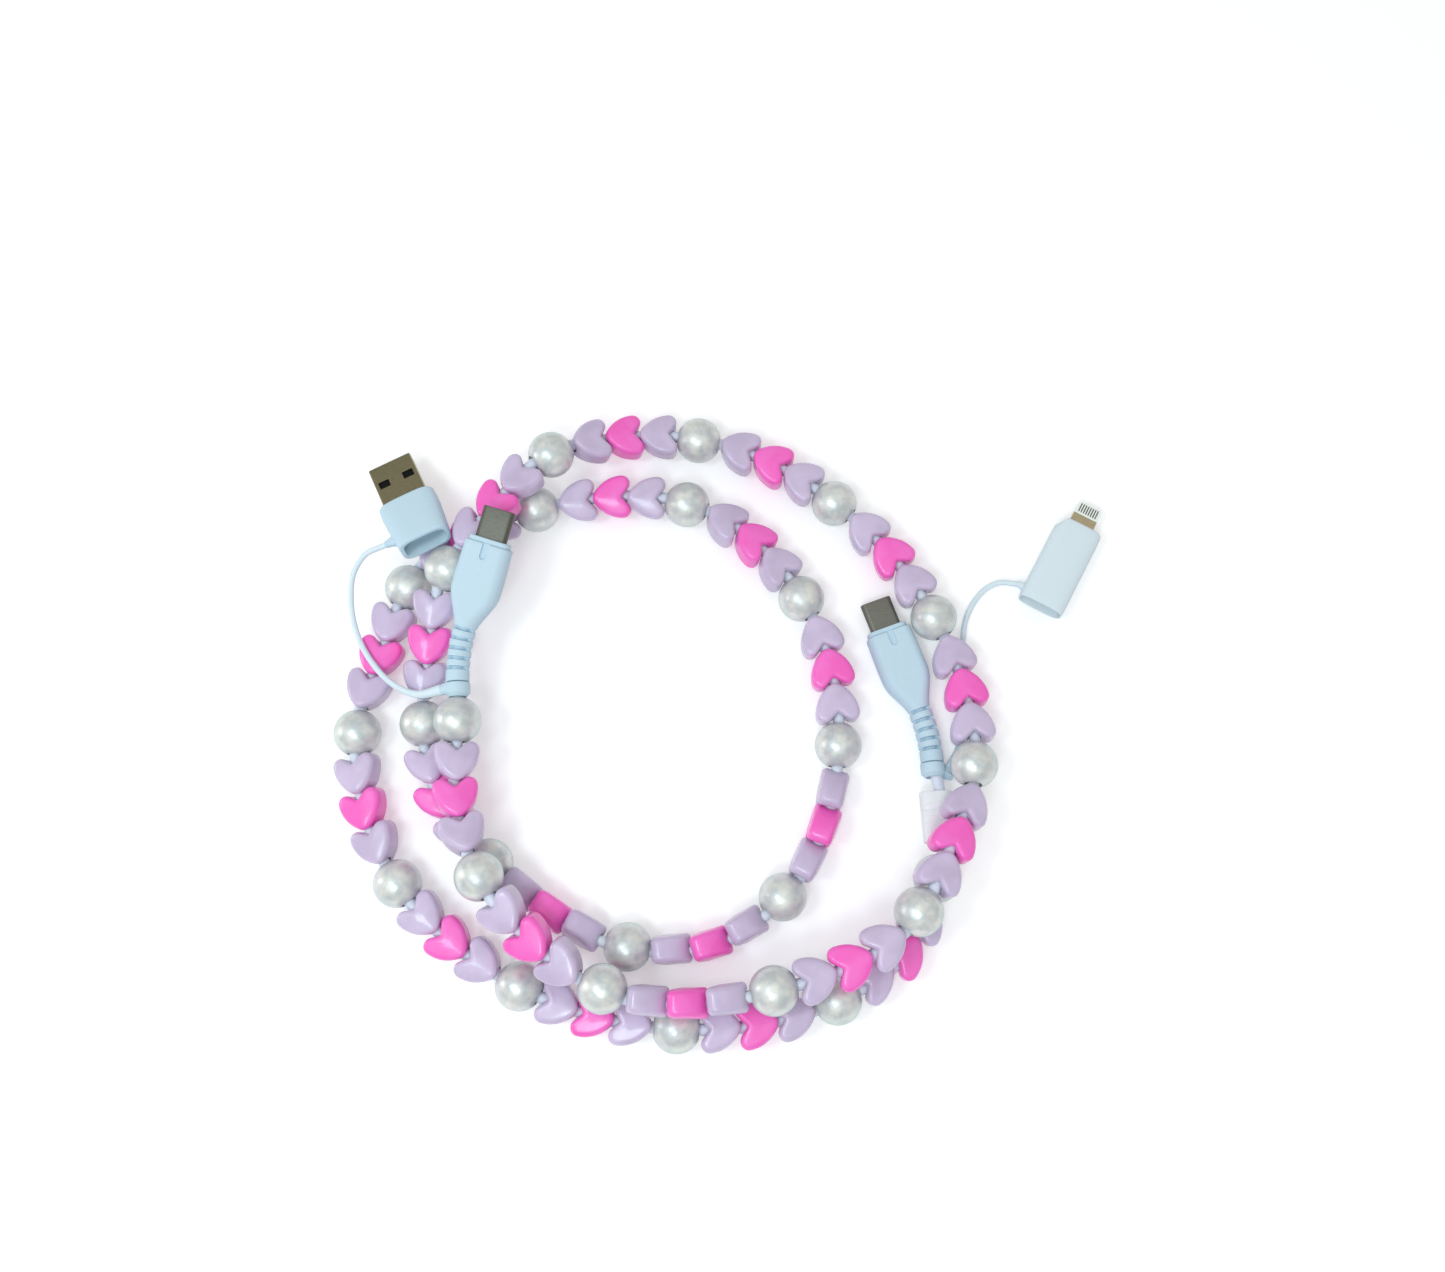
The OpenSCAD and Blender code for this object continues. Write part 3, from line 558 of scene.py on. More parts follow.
# reach is how far a strap goes on into its adapter
strapSizes = {"d": 1.5, "rootD": 3.0, "flare": 6.0, "sides": 16, "spacing": 0.8, "reach": 1.6}


def strapRadius(s):
    # thickest at its ring, thinning out exponentially
    q = strapSizes
    return (q["d"] + (q["rootD"] - q["d"]) * np.exp(-s / q["flare"])) / 2


cordBody, cordPath = tubeAlong(cordCurve, lambda s: np.full(len(s), cordSizes["d"] / 2),
                               cordSizes["spacing"], cordSizes["sides"])
mainCord = makePiece("mainCord", cordBody, cordJacket)
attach(mainCord, "beaded_cord")
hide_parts("main_cord")

straps = {}
for side, line, body in (("left", leftCurve, "left_tether"), ("right", rightCurve, "beaded_cord")):
    q = strapSizes
    tube, path = tubeAlong(line, strapRadius, q["spacing"], q["sides"], q["reach"])
    straps[side] = (makePiece(side + "Strap", tube, thinTpe), path)
    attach(straps[side][0], body)
    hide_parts(side + "_strap")
print("cord and straps made")

# beads

pearlShape = {
    "r": string["pearlD"] / 2, "boreR": string["pearlBoreD"] / 2,
    "rim": 0.15, "rimSlope": 0.6,  # width of the chamfer round the bore, and its fall to that
    "rows": 40, "sides": 56,
}
heartShape = {
    "w": 11.4, "l": 10.0, "t": 7.4, "lobeR": 2.1, "pointR": 2.4, "sideR": 9.0, "notch": 2.3,
    "ridge": 0.17, "fillet": 1.25, "boreR": 1.9,
    "back": 0.2,    # how far the outline sits back of its bore's middle
    "crown": 0.4,   # how far the highest point lies in front of the outline's middle
    "around": 84,
    # rings from the middle out, as shares of the outline
    "steps": (0.4, 0.68, 0.78, 0.84, 0.89, 0.93, 0.96, 0.982, 0.995, 1.0),
}


def pearlBody(q):
    # sphere profile between the rims of a bore, and the bore itself, turned about x
    pole = np.degrees(np.arcsin((q["boreR"] + q["rim"]) / q["r"]))
    ball = arc((0, 0), q["r"], pole, 180 - pole, q["rows"])
    end = ball[0, 0] - q["rim"] * q["rimSlope"]
    bore = np.array([(-end, q["boreR"]), (0, q["boreR"]), (end, q["boreR"])])
    return revolve(np.vstack([ball, bore]), q["sides"])


def heartOutline(q):
    # point towards +x: arcs of the point, one side and one lobe, each tangent to the next, a
    # straight run into the notch, then the same mirrored
    lobe = np.array([q["lobeR"] - q["l"] / 2, q["w"] / 2 - q["lobeR"]])
    tip = np.array([q["l"] / 2 - q["pointR"], 0])
    notch = np.array([q["notch"] - q["l"] / 2, 0])
    gap = np.linalg.norm(tip - lobe)
    down = (tip - lobe) / gap
    # the side's centre is sideR - lobeR from the lobe's and sideR - pointR from the point's
    near, far = q["sideR"] - q["lobeR"], q["sideR"] - q["pointR"]
    along = (near**2 - far**2 + gap**2) / (2 * gap)
    side = lobe + along * down - np.sqrt(near**2 - along**2) * np.array([-down[1], down[0]])
    angleTo = lambda v: np.degrees(np.arctan2(v[1], v[0]))
    back = notch - lobe
    leave = 360 + angleTo(back) - np.degrees(np.arccos(q["lobeR"] / np.linalg.norm(back)))
    half = np.vstack([arc(tip, q["pointR"], 0, angleTo(tip - side), 8),
                      arc(side, q["sideR"], angleTo(tip - side), angleTo(lobe - side), 12),
                      arc(lobe, q["lobeR"], angleTo(lobe - side), leave, 24), [notch]])
    return np.vstack([half, half[-2:0:-1] * (1, -1)])


def evenly(outline, n):
    # n points at even spacing round a closed outline, softened a little
    closed = np.vstack([outline, outline[:1]])
    run = np.concatenate([[0], np.cumsum(np.linalg.norm(np.diff(closed, axis=0), axis=1))])
    s = np.linspace(0, run[-1], n, endpoint=False)
    even = np.stack([np.interp(s, run, closed[:, k]) for k in (0, 1)], -1)
    return even / 2 + (np.roll(even, 1, 0) + np.roll(even, -1, 0)) / 4


def distanceInside(points, outline):
    # least distance from each point to the outline's segments
    a, b = outline, np.roll(outline, -1, 0)
    ab = b - a
    t = ((points[:, None] - a) * ab).sum(-1) / (ab * ab).sum(-1)
    nearest = a + np.clip(t, 0, 1)[..., None] * ab
    return np.linalg.norm(points[:, None] - nearest, axis=-1).min(1)


def heartBody(q):
    # each face falls to both sides of a soft ridge, by c (sqrt(y^2 + 1) - 1), and rolls over a
    # fillet f at its edge: a further f - sqrt(f^2 - (f - d)^2) where the edge is d < f away
    outline = evenly(heartOutline(q), q["around"])
    middle = np.array([q["crown"], 0.0])
    k = np.array(q["steps"])[:, None, None]
    flat = (middle + (outline - middle) * k).reshape(-1, 2)
    d = distanceInside(flat, outline)
    f = q["fillet"]
    drop = f - np.sqrt(f**2 - (f - np.minimum(d, f))**2)
    z = q["t"] / 2 - q["ridge"] * (np.sqrt(flat[:, 1]**2 + 1) - 1) - drop
    n, rows = q["around"], len(q["steps"])
    top = (np.column_stack([flat, z]) - (q["back"], 0, 0)).reshape(rows, n, 3)
    rings = np.vstack([top, (top * (1, 1, -1))[::-1]])
    middle = middle - (q["back"], 0)
    verts = np.vstack([rings.reshape(-1, 3), [(*middle, q["t"] / 2), (*middle, -q["t"] / 2)]])
    faces = gridFaces(2 * rows, n)
    last = (2 * rows - 1) * n
    faces += [[j, (j + 1) % n, 2 * rows * n][::-1] for j in range(n)]
    faces += [[last + j, last + (j + 1) % n, 2 * rows * n + 1] for j in range(n)]
    faces = outward(verts, faces)
    bore = roundBox(2 * q["boreR"], 2 * q["boreR"], q["boreR"], 8)
    return cutBody((verts, faces), [prism(-q["l"], q["l"], bore)])


pearl = pearlBody(pearlShape)
centres, axes = beadFrames(pearlAt, pearlHalf)
for k in range(string["pearls"]):
    node = "pearl_%02d" % (k + 1)
    piece = makePiece("pearlBead%02d" % (k + 1), putAt(pearl, centres[k], axes[k]), pearlLacquer)
    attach(piece, node)
    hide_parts(node)

heart = heartBody(heartShape)
for name, picks, material, node, slot in (
        ("lavenderHearts", (0, 2), lavenderResin, "lavender_hearts", "lavender_resin"),
        ("pinkHearts", (1,), pinkResin, "pink_hearts", "pink_resin")):
    s = heartAt[:, picks].ravel()
    roll = np.repeat(string["roll"], len(picks))
    centres, axes = beadFrames(s, string["heartHalf"], roll)
    piece = makePiece(name, copies(heart, centres, axes), material, 50)
    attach(piece, "beaded_cord")
    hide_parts(node)
print("beads made,", len(heart[1]), "faces to a heart")

# plugs

past = 1.0  # how far a cutter runs on past a face
fit = 0.05  # beside what is pushed into a moulding
fitR = 0.2  # corner of the hole for an adapter's tube or tab
plug = {
    "tubeW": 8.34, "tubeT": 2.56, "wall": 0.3, "out": 8.0, "inside": 4.2,
    "gripW": 12.6, "gripT": 6.8, "gripL": 23.0, "neckD": 6.0, "cornerR": 2.6,
    "shoulderR": 0.45, "shoulderAt": 0.94,  # its fillet, and its share of the full width
    "lipW": 10.8, "lipT": 5.2, "lipL": 1.3, "lipCornerR": 2.0, "lipEdge": 0.3,
    "seamDeep": 0.12, "seamL": 0.15, "seamEnd": 0.22,  # witness line behind the lip
    "grooveW": 1.8, "grooveL": 4.6, "grooveDeep": 0.4, "grooveAt": 0.4,
    "topFall": 0.25,                        # drop of the top face at the groove
    "floorShare": 0.9, "floorEdge": 0.1,    # the groove's floor, narrower than its mouth
    "reliefL": 14.5, "reliefEndR": 0.25,
    "slots": (3.4, 6.02, 8.64, 11.26, 13.88), "slotW": 0.95, "slotEdge": 0.04,
    "slotDeep": 1.35, "flankDeep": 0.25, "slotReach": 64,  # degrees each side of straight up
}
# share of the way back and share of full width, from neck to front
gripForm = np.array([
    (1, 0), (0.95, 0.09), (0.88, 0.3), (0.8, 0.55), (0.72, 0.79), (0.65, 0.94), (0.58, 1),
    (0.42, 1), (0.25, 0.98), (0.1, 0.94), (0.075, 0.9), (0.055, 0.82)])


def aim(yaw, pitch):
    # unit vector from two angles in degrees
    y, p = np.radians(yaw), np.radians(pitch)
    return np.array([np.cos(p) * np.cos(y), np.cos(p) * np.sin(y), np.sin(p)])


def plugPlace(end, start, towards, q):
    # the strain relief bends evenly from start to towards, and the grip follows straight on
    angle = np.arccos(start @ towards)
    r = q["reliefL"] / angle
    neck = end + 2 * r * np.sin(angle / 2) * unit(start + towards)
    return {"end": end, "start": start, "aim": towards, "angle": angle, "r": r,
            "front": neck + q["gripL"] * towards, "axes": axesFrom(towards)}


cordHeads = headingOn(cordLine, 0.0), headingOn(cordLine, cordLine["length"])
plugs = {
    "left": plugPlace(cordCurve["p"][0], -cordHeads[0], aim(72.3, 16), plug),
    "right": plugPlace(cordCurve["p"][-1], cordHeads[1], aim(110.2, 0), plug),
}


def gripBody(q):
    # rings are a circle at the neck and a flat-topped box with round corners at the shoulder:
    # size d + g (full - d), corner radius d/2 + g (cornerR - d/2), then a step in to the lip
    back = np.linspace(1, 0.1, 46)
    widen = np.interp(back, gripForm[::-1, 0], gripForm[::-1, 1])
    widen = np.convolve(np.pad(widen, 1, mode="edge"), np.ones(3) / 3, "valid")  # softened
    widen[0] = 0
    d = q["neckD"]
    ring = lambda g, inset=0.0: roundBox(
        d + g * (q["gripW"] - d) - 2 * inset, d + g * (q["gripT"] - d) - 2 * inset,
        (d / 2 + g * (q["cornerR"] - d / 2) - inset) * 0.999, 16)
    rows = [(-b * q["gripL"], ring(g)) for b, g in zip(back, widen)]
    r = q["shoulderR"]
    for a in np.radians(np.linspace(12, 90, 6)):
        rows.append((-q["lipL"] - r + r * np.sin(a), ring(q["shoulderAt"], r * (1 - np.cos(a)))))
    lip = lambda inset: roundBox(q["lipW"] - 2 * inset, q["lipT"] - 2 * inset,
                                 q["lipCornerR"] - inset, 16)
    rows += [(-q["lipL"], lip(q["seamDeep"])), (-q["lipL"] + q["seamL"], lip(q["seamDeep"])),
             (-q["lipL"] + q["seamEnd"], lip(0.0))]
    r = q["lipEdge"]
    for a in np.radians(np.linspace(0, 90, 5)):
        rows.append((-r + r * np.sin(a), lip(r * (1 - np.cos(a)))))
    body = ringBody(stations(rows))
    well = prism(-q["inside"] - fit, past, stadium(q["tubeW"] + 2 * fit, q["tubeT"] + 2 * fit))
    # long groove with a rounded back end in the top face
    ends = roundBox(q["grooveL"] * 2, q["grooveW"], q["grooveW"] / 2 - 1e-3, 8)
    x = ends[:, 0] - q["lipL"] + q["grooveAt"]
    top = q["gripT"] / 2
    low = top - q["grooveDeep"] - q["topFall"]
    levels = (low, q["floorShare"]), (low + q["floorEdge"], 1.0), (top + past, 1.0)
    groove = [np.column_stack([x, ends[:, 1] * k, np.full(len(ends), z)]) for z, k in levels]
    return cutBody(body, [well, ringBody(np.array(groove))])


def tubeShell(w, t, wall, x0, x1, outline):
    # hollow tube whose front rim is rolled over the wall's thickness
    rim = [(x1 - wall / 2 + wall / 2 * np.sin(a), wall / 2 * (1 - np.cos(a)))
           for a in np.radians(np.linspace(0, 180, 9))]
    straight = x1 - wall / 2 - x0
    rows = [(x0, 0.0)] + [(x0 + straight * k, 0.0) for k in (0.33, 0.66)] + rim + [(x0, wall)]
    rings = stations([(x, outline(w - 2 * inset, t - 2 * inset)) for x, inset in rows])
    return ringBody(rings, closeRows=True)


def reliefBody(p, q):
    # a tube on a circular arc; each slot lowers it by slotDeep over the top and the bottom, out to
    # slotReach either side, and by flankDeep on the flanks between
    cuts = [m + side * (q["slotW"] / 2 + k * q["slotEdge"])
            for m in q["slots"] for side in (-1, 1) for k in (-1, 1)]
    s = np.unique(np.concatenate([np.linspace(0, q["reliefL"], 44), cuts,
                                  np.linspace(0, q["reliefEndR"], 6)]))
    n = 120
    a = 2 * np.pi * (np.arange(n) + 0.5) / n  # from straight up
    inSlot = (abs(s[:, None] - np.array(q["slots"])).min(1) < q["slotW"] / 2)[:, None]
    deep = np.abs(np.cos(a)) > np.cos(np.radians(q["slotReach"]))
    r = q["neckD"] / 2 - inSlot * np.where(deep, q["slotDeep"], q["flankDeep"])[None]
    endR = q["reliefEndR"]
    r = r - (endR * (1 - np.sqrt(1 - (1 - s / endR).clip(0, 1)**2)))[:, None]
    towards = unit(p["aim"] - (p["aim"] @ p["start"]) * p["start"])
    turn = (s / p["r"])[:, None]
    centre = p["end"] + p["r"] * (np.sin(turn) * p["start"] + (1 - np.cos(turn)) * towards)
    x = np.cos(turn) * p["start"] + np.sin(turn) * towards
    y = sideOf(x)
    return ringBody(centre[:, None] + r[:, :, None] * spokes(a, np.cross(x, y), y))


grip = gripBody(plug)
tube = tubeShell(plug["tubeW"], plug["tubeT"], plug["wall"], -plug["inside"], plug["out"], stadium)
# the left tube takes the darker copy of the steel: painted shade
for side, steel in (("left", plugSteelShadedLeft), ("right", plugSteelRight)):
    p = plugs[side]
    for name, body, material, node, slot, sharp in (
            ("PlugGrip", putAt(grip, p["front"], p["axes"]), iceBlueTpe,
             "_plug_grip", "moulded_plastic", 40),
            ("StrainRelief", reliefBody(p, plug), iceBlueTpe,
             "_strain_relief", "moulded_plastic", 32),
            ("PlugTube", putAt(tube, p["front"], p["axes"]), steel,
             "_plug_shell", "plug_steel", 40)):
        piece = makePiece(side + name, body, material, sharp)
        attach(piece, "beaded_cord")
        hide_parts(side + node)
print("plugs made")

# strap rings and sleeve

ring = {
    "d": 6.4, "l": string["ringL"], "endD": 4.8, "boreD": 3.6, "edge": 0.25,
    "taperR": 0.4, "taperBack": 0.3,  # where the taper starts
    "stubD": 2.8, "stub": ((-0.1, 1.0), (0.8, 1.04), (1.5, 1.18), (2.2, 1.4)),  # mm out, share of d
    "axle": 0.01,
}


def ringShape(q):
    # band with a taper towards +x and a rounded edge at its back
    h, r = q["l"] / 2, q["d"] / 2
    profile = np.vstack([arc((q["edge"] - h, r - q["edge"]), q["edge"], 180, 90, 5),
                         arc((h / 2 - q["taperBack"], r - q["taperR"]), q["taperR"], 90, 45, 4),
                         arc((h - q["edge"], q["endD"] / 2 - q["edge"]), q["edge"], 45, 0, 4),
                         [(h, q["boreD"] / 2), (0, q["boreD"] / 2), (-h, q["boreD"] / 2)]])
    return revolve(profile, 64)


def strapStub(line, q):
    # short flared foot that joins the strap to its ring
    axes = axesFrom(-headingOn(line, 0.0))
    rows = [(at, stadium(q["stubD"] * k, q["stubD"] * k, 8)) for at, k in q["stub"]]
    return putAt(ringBody(stations(rows)), placeOn(line, 0.0), axes)


def ringBore(q):
    # rod that clears the stub out of the bore, well past both ends
    reach, r = q["l"] / 2 + 2.2, q["boreD"] / 2
    return revolve(np.array([(-reach, q["axle"]), (-reach, r), (reach, r), (reach, q["axle"])]), 48)


for side, s, away, line, body in (
        ("left", string["clearance"] + ring["l"] / 2, 1, leftCurve, "left_tether"),
        ("right", cordLine["length"] - string["clearance"] - ring["l"] / 2, -1, rightCurve,
         "beaded_cord")):
    centres, axes = beadFrames(s, ring["l"] / 2)
    turned = axes[0] @ np.diag([away, away, 1])
    band, bore = (putAt(part(ring), centres[0], turned) for part in (ringShape, ringBore))
    stub = cutBody(strapStub(line, ring), [bore])
    piece = makePiece(side + "StrapRing", joined([band, stub]), iceBlueTpe)
    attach(piece, body)
    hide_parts(side + "_strap_ring")

sleeve = {
    "w": 8.4, "t": 4.6, "l": 13.0, "power": 3.2, "edge": 0.35, "boreD": 3.9,
    "gap": 3.6,  # to the ring's clearance
    "crease": 0.3, "creaseW": 0.35, "creaseBack": 4.6,
}


def sleeveBody(q):
    # flattened tube; a soft crease, deep as c exp(-(x/w)^2), runs across it
    half = q["l"] / 2
    x = np.concatenate([[-half], np.linspace(-half + 0.05, half - 0.05, 60), [half]])
    dip = q["crease"] * np.exp(-((x - (half - q["creaseBack"])) / q["creaseW"])**2)
    ends = q["edge"] * (1 - np.sqrt(1 - np.clip(1 - (half - abs(x)) / q["edge"], 0, 1)**2))
    rows = [(a, softBox(q["w"] - 2 * e, q["t"] - 2 * e - 2 * c, q["power"], 56))
            for a, e, c in zip(x, ends, dip)]
    bore = prism(-q["l"], q["l"], stadium(q["boreD"], q["boreD"], 8))
    return cutBody(ringBody(stations(rows)), [bore])


sleeveEnd = (cordLine["length"] - string["clearance"] - ring["l"] - string["clearance"]
             - sleeve["gap"])
centres, axes = beadFrames(sleeveEnd - sleeve["l"] / 2, sleeve["l"] / 2)
pressedSleeve = makePiece("pressedSleeve", putAt(sleeveBody(sleeve), centres[0], axes[0]),
                          pressedPvc)
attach(pressedSleeve, "label_sleeve")
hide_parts("cord_sleeve")
print("rings and sleeve made")

# adapters

mouth = {
    "w": 11.4, "t": 5.8, "deep": 5.0, "power": 3.6,
    "leadIn": ((-1, 0.6), (0.15, 0.1), (0.3, 0.0)),  # mm in, mm wider
    "socketW": 9.64, "socketT": 3.86, "socketL": 7.0, "lap": 0.1,
}
# the ball hides the strap's end as it bends; the foot runs from it into the housing
boss = {"d": 2.6, "ballD": 1.9, "reach": 3.2, "widen": 1.6, "thicken": 1.6, "power": (2.2, 2.8)}
typeA = {
    "back": (-76.4, 44.2, 16.9), "aim": aim(117, -19), "strap": leftCurve,
    "w": 15.6, "t": 8.0, "l": 15.2, "power": 4.0, "edge": 1.0, "backEdge": 0.4,
    "footW": 4.8, "chamfer": 0.0,
    # share of the way back, of the width and of the thickness
    "form": ((-1, 0.86, 0.94), (-0.92, 0.89, 0.985), (-0.6, 0.94, 1), (-0.25, 0.995, 1),
             (-0.05, 0.985, 0.98), (0, 0.97, 0.97)),
    "tubeW": 12.0, "tubeT": 4.5, "wall": 0.3, "out": 13.8, "inside": 2.0, "cornerR": 0.55,
    "holeW": 3.0, "holeL": 2.4, "holeR": 0.25, "holeSide": 3.4, "holeBack": 6.7,
    "carrierT": 1.9, "carrierIn": 0.2, "carrierShort": 0.8,
    "stripAt": (-3.5, -1.25, 1.25, 3.5), "stripW": 1.0, "stripFrom": 9.4, "stripTo": 1.6,
    "stripProud": 0.12, "stripSunk": 0.1,
}
eight = {
    "back": (84.2, 30.5, 4.1), "aim": aim(61.3, -1), "strap": rightCurve,
    "w": 12.4, "t": 6.8, "l": 25.4, "power": 3.6, "edge": 1.0, "backEdge": 0.4,
    "footW": 2.8, "chamfer": 2.5,
    "form": ((-1, 0.985, 0.985), (-0.9, 1, 1), (-0.1, 1, 1), (0, 0.97, 0.98)),
    "tabW": 6.7, "tabT": 1.5, "inside": 2.5, "tabOut": 6.8,
    "fingers": 8, "fingerPitch": 0.68, "fingerW": 0.25, "fingerL": 2.5, "fingerT": 0.13,
    "fingerSunk": 0.09, "fingerShort": 0.6,
}
for adapter in (typeA, eight):
    adapter["front"] = np.array(adapter["back"]) + adapter["l"] * adapter["aim"] + routeShift / mm


def housingBody(q, hole):
    # rounded-box rings with quarter-round edges at both ends, a wide mouth behind and a hole in
    # front; both edges draw in by r (1 - sqrt(1 - u^2)), u running from 0 to 1 over the edge
    x = np.concatenate([-q["l"] + q["backEdge"] * (1 - np.cos(np.radians(np.linspace(0, 90, 6)))),
                        np.linspace(-q["l"] * 0.9, -q["l"] * 0.12, 14),
                        -q["edge"] * (1 - np.sin(np.radians(np.linspace(0, 90, 9))))])
    back, wide, thick = np.array(q["form"]).T
    kw, kt = np.interp(x / q["l"], back, wide), np.interp(x / q["l"], back, thick)
    inFront, behind = 1 + x / q["edge"], 1 - (x + q["l"]) / q["backEdge"]
    inset = (q["edge"] * (1 - np.sqrt(1 - np.clip(inFront, 0, 1)**2))
             + q["backEdge"] * (1 - np.sqrt(1 - np.clip(behind, 0, 1)**2)))
    rows = [(a, softBox(q["w"] * g - 2 * i, q["t"] * h - 2 * i, q["power"], 88))
            for a, g, h, i in zip(x, kw, kt, inset)]
    if q["chamfer"]:  # the front corner on the strap's side is cut at 45 degrees
        for a, outline in rows:
            outline[:, 0] = np.minimum(outline[:, 0], q["w"] / 2 - max(a + q["chamfer"], 0))
    wide = [(-q["l"] + at, softBox(mouth["w"] + more, mouth["t"] + more, mouth["power"], 72))
            for at, more in mouth["leadIn"] + ((mouth["deep"], 0.0),)]
    floor = -q["l"] + mouth["deep"]
    inner = prism(floor - mouth["lap"], floor + mouth["socketL"],
                  stadium(mouth["socketW"], mouth["socketT"]))
    return cutBody(ringBody(stations(rows)), [ringBody(stations(wide)), inner, hole])


def bossBody(q, b):
    # a ball where the strap ends, and a foot that widens as t^widen and thickens as t^2
    line = q["strap"]
    x = headingOn(line, line["length"])
    end = placeOn(line, line["length"]) + (b["d"] / 2 + string["clearance"]) * x
    axes = axesFrom(q["aim"])
    r = b["ballD"] / 2
    a = np.radians(np.linspace(0, 180, 17))[1:-1]
    ball = stations([(-r * np.cos(t), roundBox(2 * r * np.sin(t), 2 * r * np.sin(t),
                                               r * np.sin(t) * 0.999, 8)) for t in a])
    rows = []
    for t in np.linspace(0, 1, 12):
        outline = softBox(b["ballD"] + (q["footW"] - b["ballD"]) * t**b["widen"],
                          b["ballD"] + b["thicken"] * t**2, np.interp(t, (0, 1), b["power"]), 40)
        rows.append(np.column_stack([outline[:, 0], np.full(40, -t * b["reach"]), outline[:, 1]]))
    return [putAt(ringBody(ball), end, axes), putAt(ringBody(np.array(rows)), end, axes)]


def placed(q, bodies):
    # bodies in an adapter's own axes, moved to its place
    return putAt(joined(bodies), q["front"], axesFrom(q["aim"]))


def wholeHousing(q, w, t):
    # w and t are the width and thickness of what is pushed in
    hole = prism(-q["inside"] - fit, past, roundBox(w + 2 * fit, t + 2 * fit, fitR, 4))
    return joined([placed(q, [housingBody(q, hole)])] + bossBody(q, boss))


typeAHousing = makePiece("typeAHousing", wholeHousing(typeA, typeA["tubeW"], typeA["tubeT"]),
                         iceBlueTpe)
# the eight-contact housing takes the lighter copy of the TPE: painted light
eightHousing = makePiece("eightContactHousing", wholeHousing(eight, eight["tabW"], eight["tabT"]),
                         litIceTpeCopy)


def typeATube(q):
    # folded square tube with a rolled rim and two latch holes through each broad face
    outline = lambda w, t: roundBox(w, t, max(q["cornerR"] - (q["tubeW"] - w) / 2, 0.1), 6)
    shell = tubeShell(q["tubeW"], q["tubeT"], q["wall"], -q["inside"], q["out"], outline)
    cutters = []
    for side in (-1, 1):
        at = (q["out"] - q["holeBack"], side * q["holeSide"])
        hole = roundBox(q["holeL"], q["holeW"], q["holeR"], 5) + at
        rings = [np.column_stack([hole, np.full(len(hole), z)]) for z in (-4, 4)]
        cutters.append(ringBody(np.array(rings)))
    return cutBody(shell, cutters)


def slab(x0, x1, y, halfW, z0, z1):
    # block with its middle at y
    left, right = y - halfW, y + halfW
    return prism(x0, x1, np.array([(left, z0), (right, z0), (right, z1), (left, z1)]))


def carrier(q):
    # block against the tube's upper face
    top = q["tubeT"] / 2 - q["wall"] - fit
    return [slab(-q["inside"] + q["carrierIn"], q["out"] - q["carrierShort"], 0.0,
                 q["tubeW"] / 2 - q["wall"] - fit, top - q["carrierT"], top)]


def strips(q):
    # contact strips on the block's lower face
    low = q["tubeT"] / 2 - q["wall"] - fit - q["carrierT"]
    return [slab(q["out"] - q["stripFrom"], q["out"] - q["stripTo"], y, q["stripW"] / 2,
                 low - q["stripProud"], low + q["stripSunk"]) for y in q["stripAt"]]


def fingers(q):
    # a row of narrow contacts near the front of each face of the tab
    end, n = q["tabOut"] - q["fingerShort"], q["fingers"]
    low = q["tabT"] / 2 - q["fingerSunk"]
    levels = (-low - q["fingerT"], -low), (low, low + q["fingerT"])
    return [slab(end - q["fingerL"], end, y, q["fingerW"] / 2, z0, z1)
            for z0, z1 in levels for y in q["fingerPitch"] * (np.arange(n) - (n - 1) / 2)]


carrierBlock = makePiece("typeACarrier", placed(typeA, carrier(typeA)), blackPbt)
contactStrips = makePiece("typeAStrips", placed(typeA, strips(typeA)), contactGold)
contactFingers = makePiece("eightFingers", placed(eight, fingers(eight)), fingerMetal)
typeAShell = makePiece("typeATube", placed(typeA, [typeATube(typeA)]), foldedSteel)
for piece, body, node, slot in (
        (typeAHousing, "type_a_adapter", "type_a_housing", "moulded_plastic"),
        (eightHousing, "eight_contact_adapter", "eight_contact_housing", "moulded_plastic"),
        (carrierBlock, "type_a_adapter", "type_a_insulator", "black_plastic"),
        (contactStrips, "type_a_adapter", "type_a_contacts", "contact_gold"),
        (contactFingers, "eight_contact_adapter", "eight_contact_fingers", "finger_metal"),
        (typeAShell, "type_a_adapter", "type_a_shell", "type_a_steel")):
    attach(piece, body)
    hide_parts(node)
print("adapters made")

# finishes of the carried-over nodes

finishes = {
    blackPbt: ("left_plug_insulator", "right_plug_insulator", "type_a_socket_tongue",
               "eight_contact_socket_tongue"),
    contactGold: ("left_plug_contacts", "right_plug_contacts"),
    socketSteel: ("left_plug_latches", "right_plug_latches", "type_a_socket_shell",
                  "eight_contact_socket_shell"),
    circuitBoard: ("left_plug_board", "right_plug_board"),
    tabSteel: ("eight_contact_tab",),
    whiteNylon: ("eight_contact_insert",),
}
for material, nodes in finishes.items():
    for node in nodes:
        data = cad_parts[node].data
        data.materials.clear()
        data.materials.append(material)

# floor and light

studio = {
    "floor": 1.6, "floorColor": "#F4F4F4", "floorGlow": 0.28,  # metres, colour, strength
    "horizon": 0.36, "zenith": 0.8,
    # place (mm), aim (mm), size (mm), watts, colour
    "lamps": (
        ("highWindow", (-268, -91, 544), (0, 0, 0), 150, 0.68, "#EAFAFF"),
        ("nearWindow", (-88, -271, 544), (0, 0, 0), 150, 0.68, "#EAFAFF"),
        ("lowWindow", (-540, 20, 120), (0, 0, 0), 120, 0.3, "#FFFFFF"),
    ),
}


def seenBy(tree, *kinds):
    # 1 for rays of any of these kinds, 0 for the rest
    path = addNode(tree, "LightPath").outputs
    seen = path[kinds[0]]
    for kind in kinds[1:]:
        seen = addNode(tree, "Math", [(0, seen), (1, path[kind])], operation="MAXIMUM").outputs[0]
    return seen


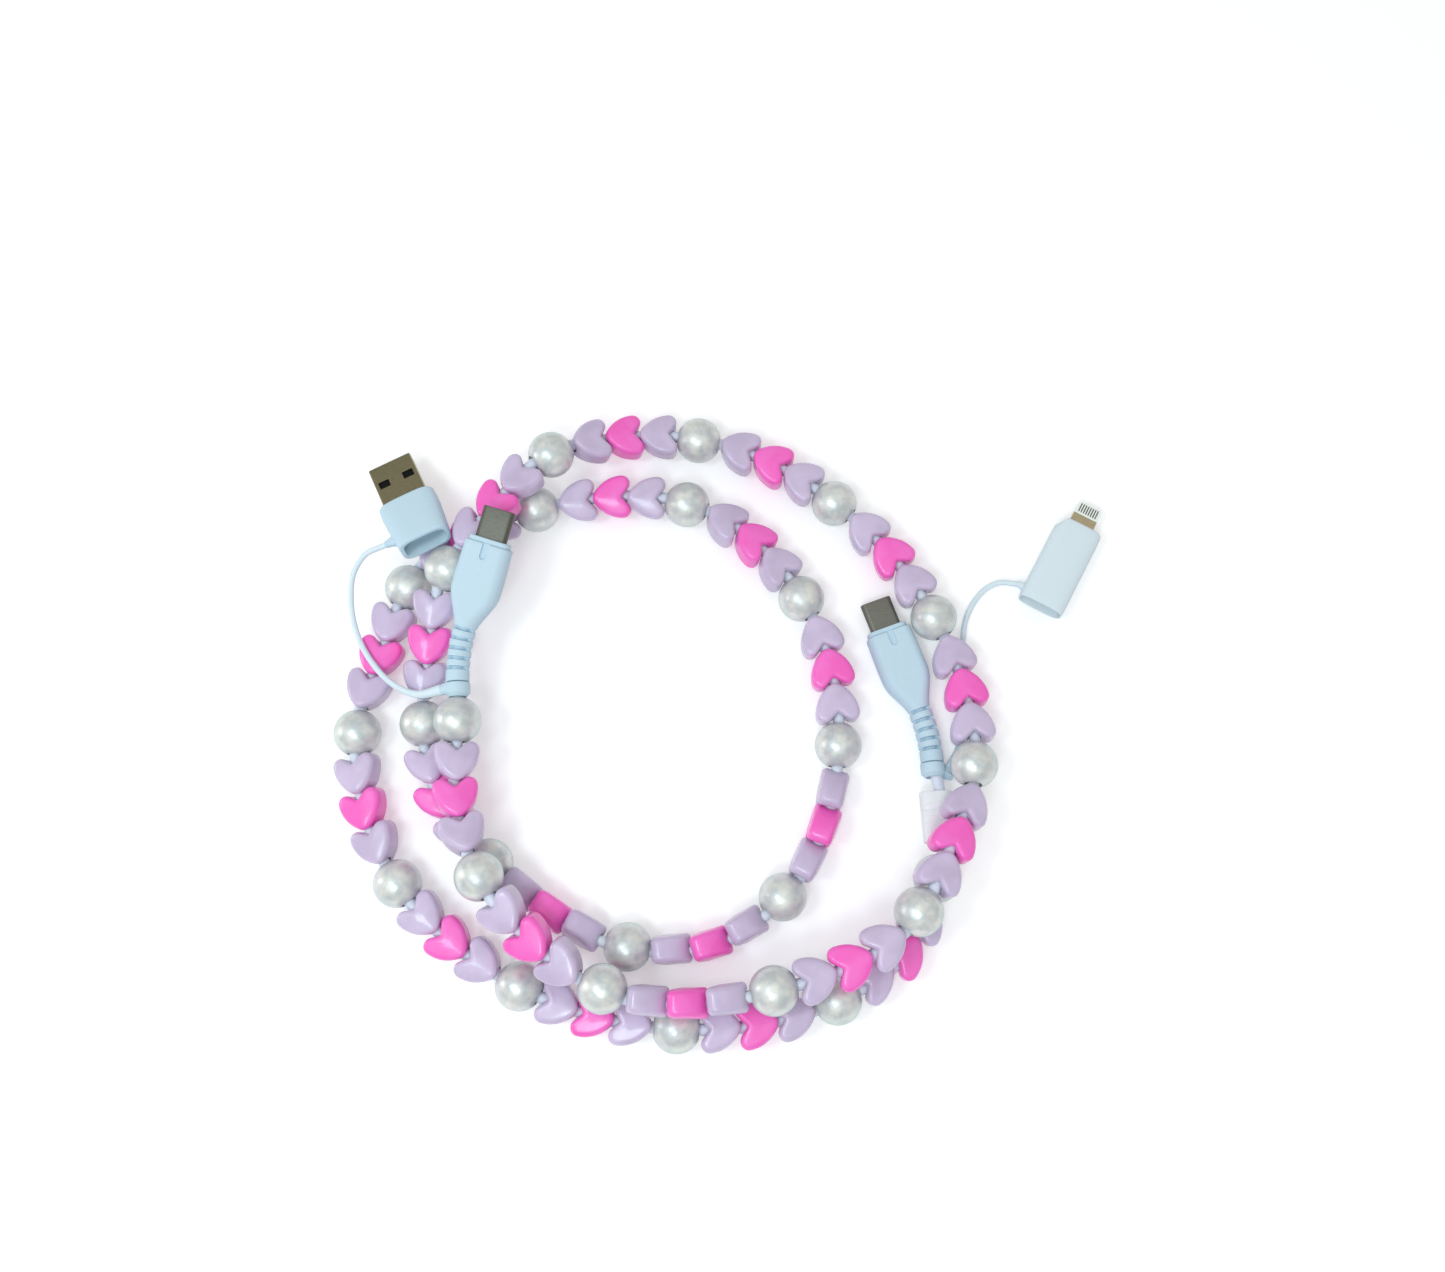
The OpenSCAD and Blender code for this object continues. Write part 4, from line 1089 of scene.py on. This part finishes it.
def makeStudio(q):
    h = q["floor"] / 2
    mesh = bpy.data.meshes.new("floor")
    mesh.from_pydata([(-h, -h, 0), (h, -h, 0), (h, h, 0), (-h, h, 0)], [], [(0, 1, 2, 3)])
    # white paper sweep: seen by the camera and in reflections it glows a little, so it stays white
    paper = bpy.data.materials.new("whitePaperSweep")
    tree = emptyTree(paper)
    diffuse = addNode(tree, "BsdfDiffuse", [("Color", hexColor(q["floorColor"]))])
    glow = addNode(tree, "Emission", [("Color", (1, 1, 1, 1)), ("Strength", q["floorGlow"])])
    seen = seenBy(tree, "Is Camera Ray", "Is Glossy Ray", "Is Transmission Ray")
    dark = addNode(tree, "Emission", [("Strength", 0.0)])
    lit = addNode(tree, "MixShader", [(0, seen), (1, dark.outputs[0]), (2, glow.outputs[0])])
    both = addNode(tree, "AddShader", [(0, diffuse.outputs[0]), (1, lit.outputs[0])])
    addNode(tree, "OutputMaterial", [("Surface", both.outputs[0])])
    mesh.materials.append(paper)
    floor = newObject("floor", mesh)

    world = bpy.data.worlds.new("studio")
    bpy.context.scene.world = world
    tree = emptyTree(world)
    # dimmer towards the horizon, as in a room lit from above; plain white where the camera sees it
    direction = addNode(tree, "TexCoord").outputs["Generated"]
    up = addNode(tree, "SeparateXYZ", [("Vector", direction)]).outputs["Z"]
    dome = addNode(tree, "MapRange", [("Value", up), ("To Min", q["horizon"]),
                                      ("To Max", q["zenith"])]).outputs["Result"]
    seen = seenBy(tree, "Is Camera Ray", "Is Transmission Ray")
    strength = addNode(tree, "MapRange", [("Value", seen), ("To Min", dome), ("To Max", 1.0)])
    back = addNode(tree, "Background", [("Color", (1, 1, 1, 1)),
                                        ("Strength", strength.outputs["Result"])])
    addNode(tree, "OutputWorld", [("Surface", back.outputs[0])])

    for name, at, to, size, watts, tint in q["lamps"]:
        data = bpy.data.lights.new(name, "AREA")
        data.shape, data.size, data.energy = "DISK", size * mm, watts
        data.color = hexColor(tint)[:3]
        lamp = newObject(name, data)
        lamp.location = Vector(at) * mm
        lamp.rotation_euler = (Vector(at) - Vector(to)).to_track_quat("Z", "Y").to_euler()


makeStudio(studio)
print("studio made")

# what is a cord

for side, far in (("left", "typeAHousing"), ("right", "eightContactHousing")):
    strap, path = straps[side]
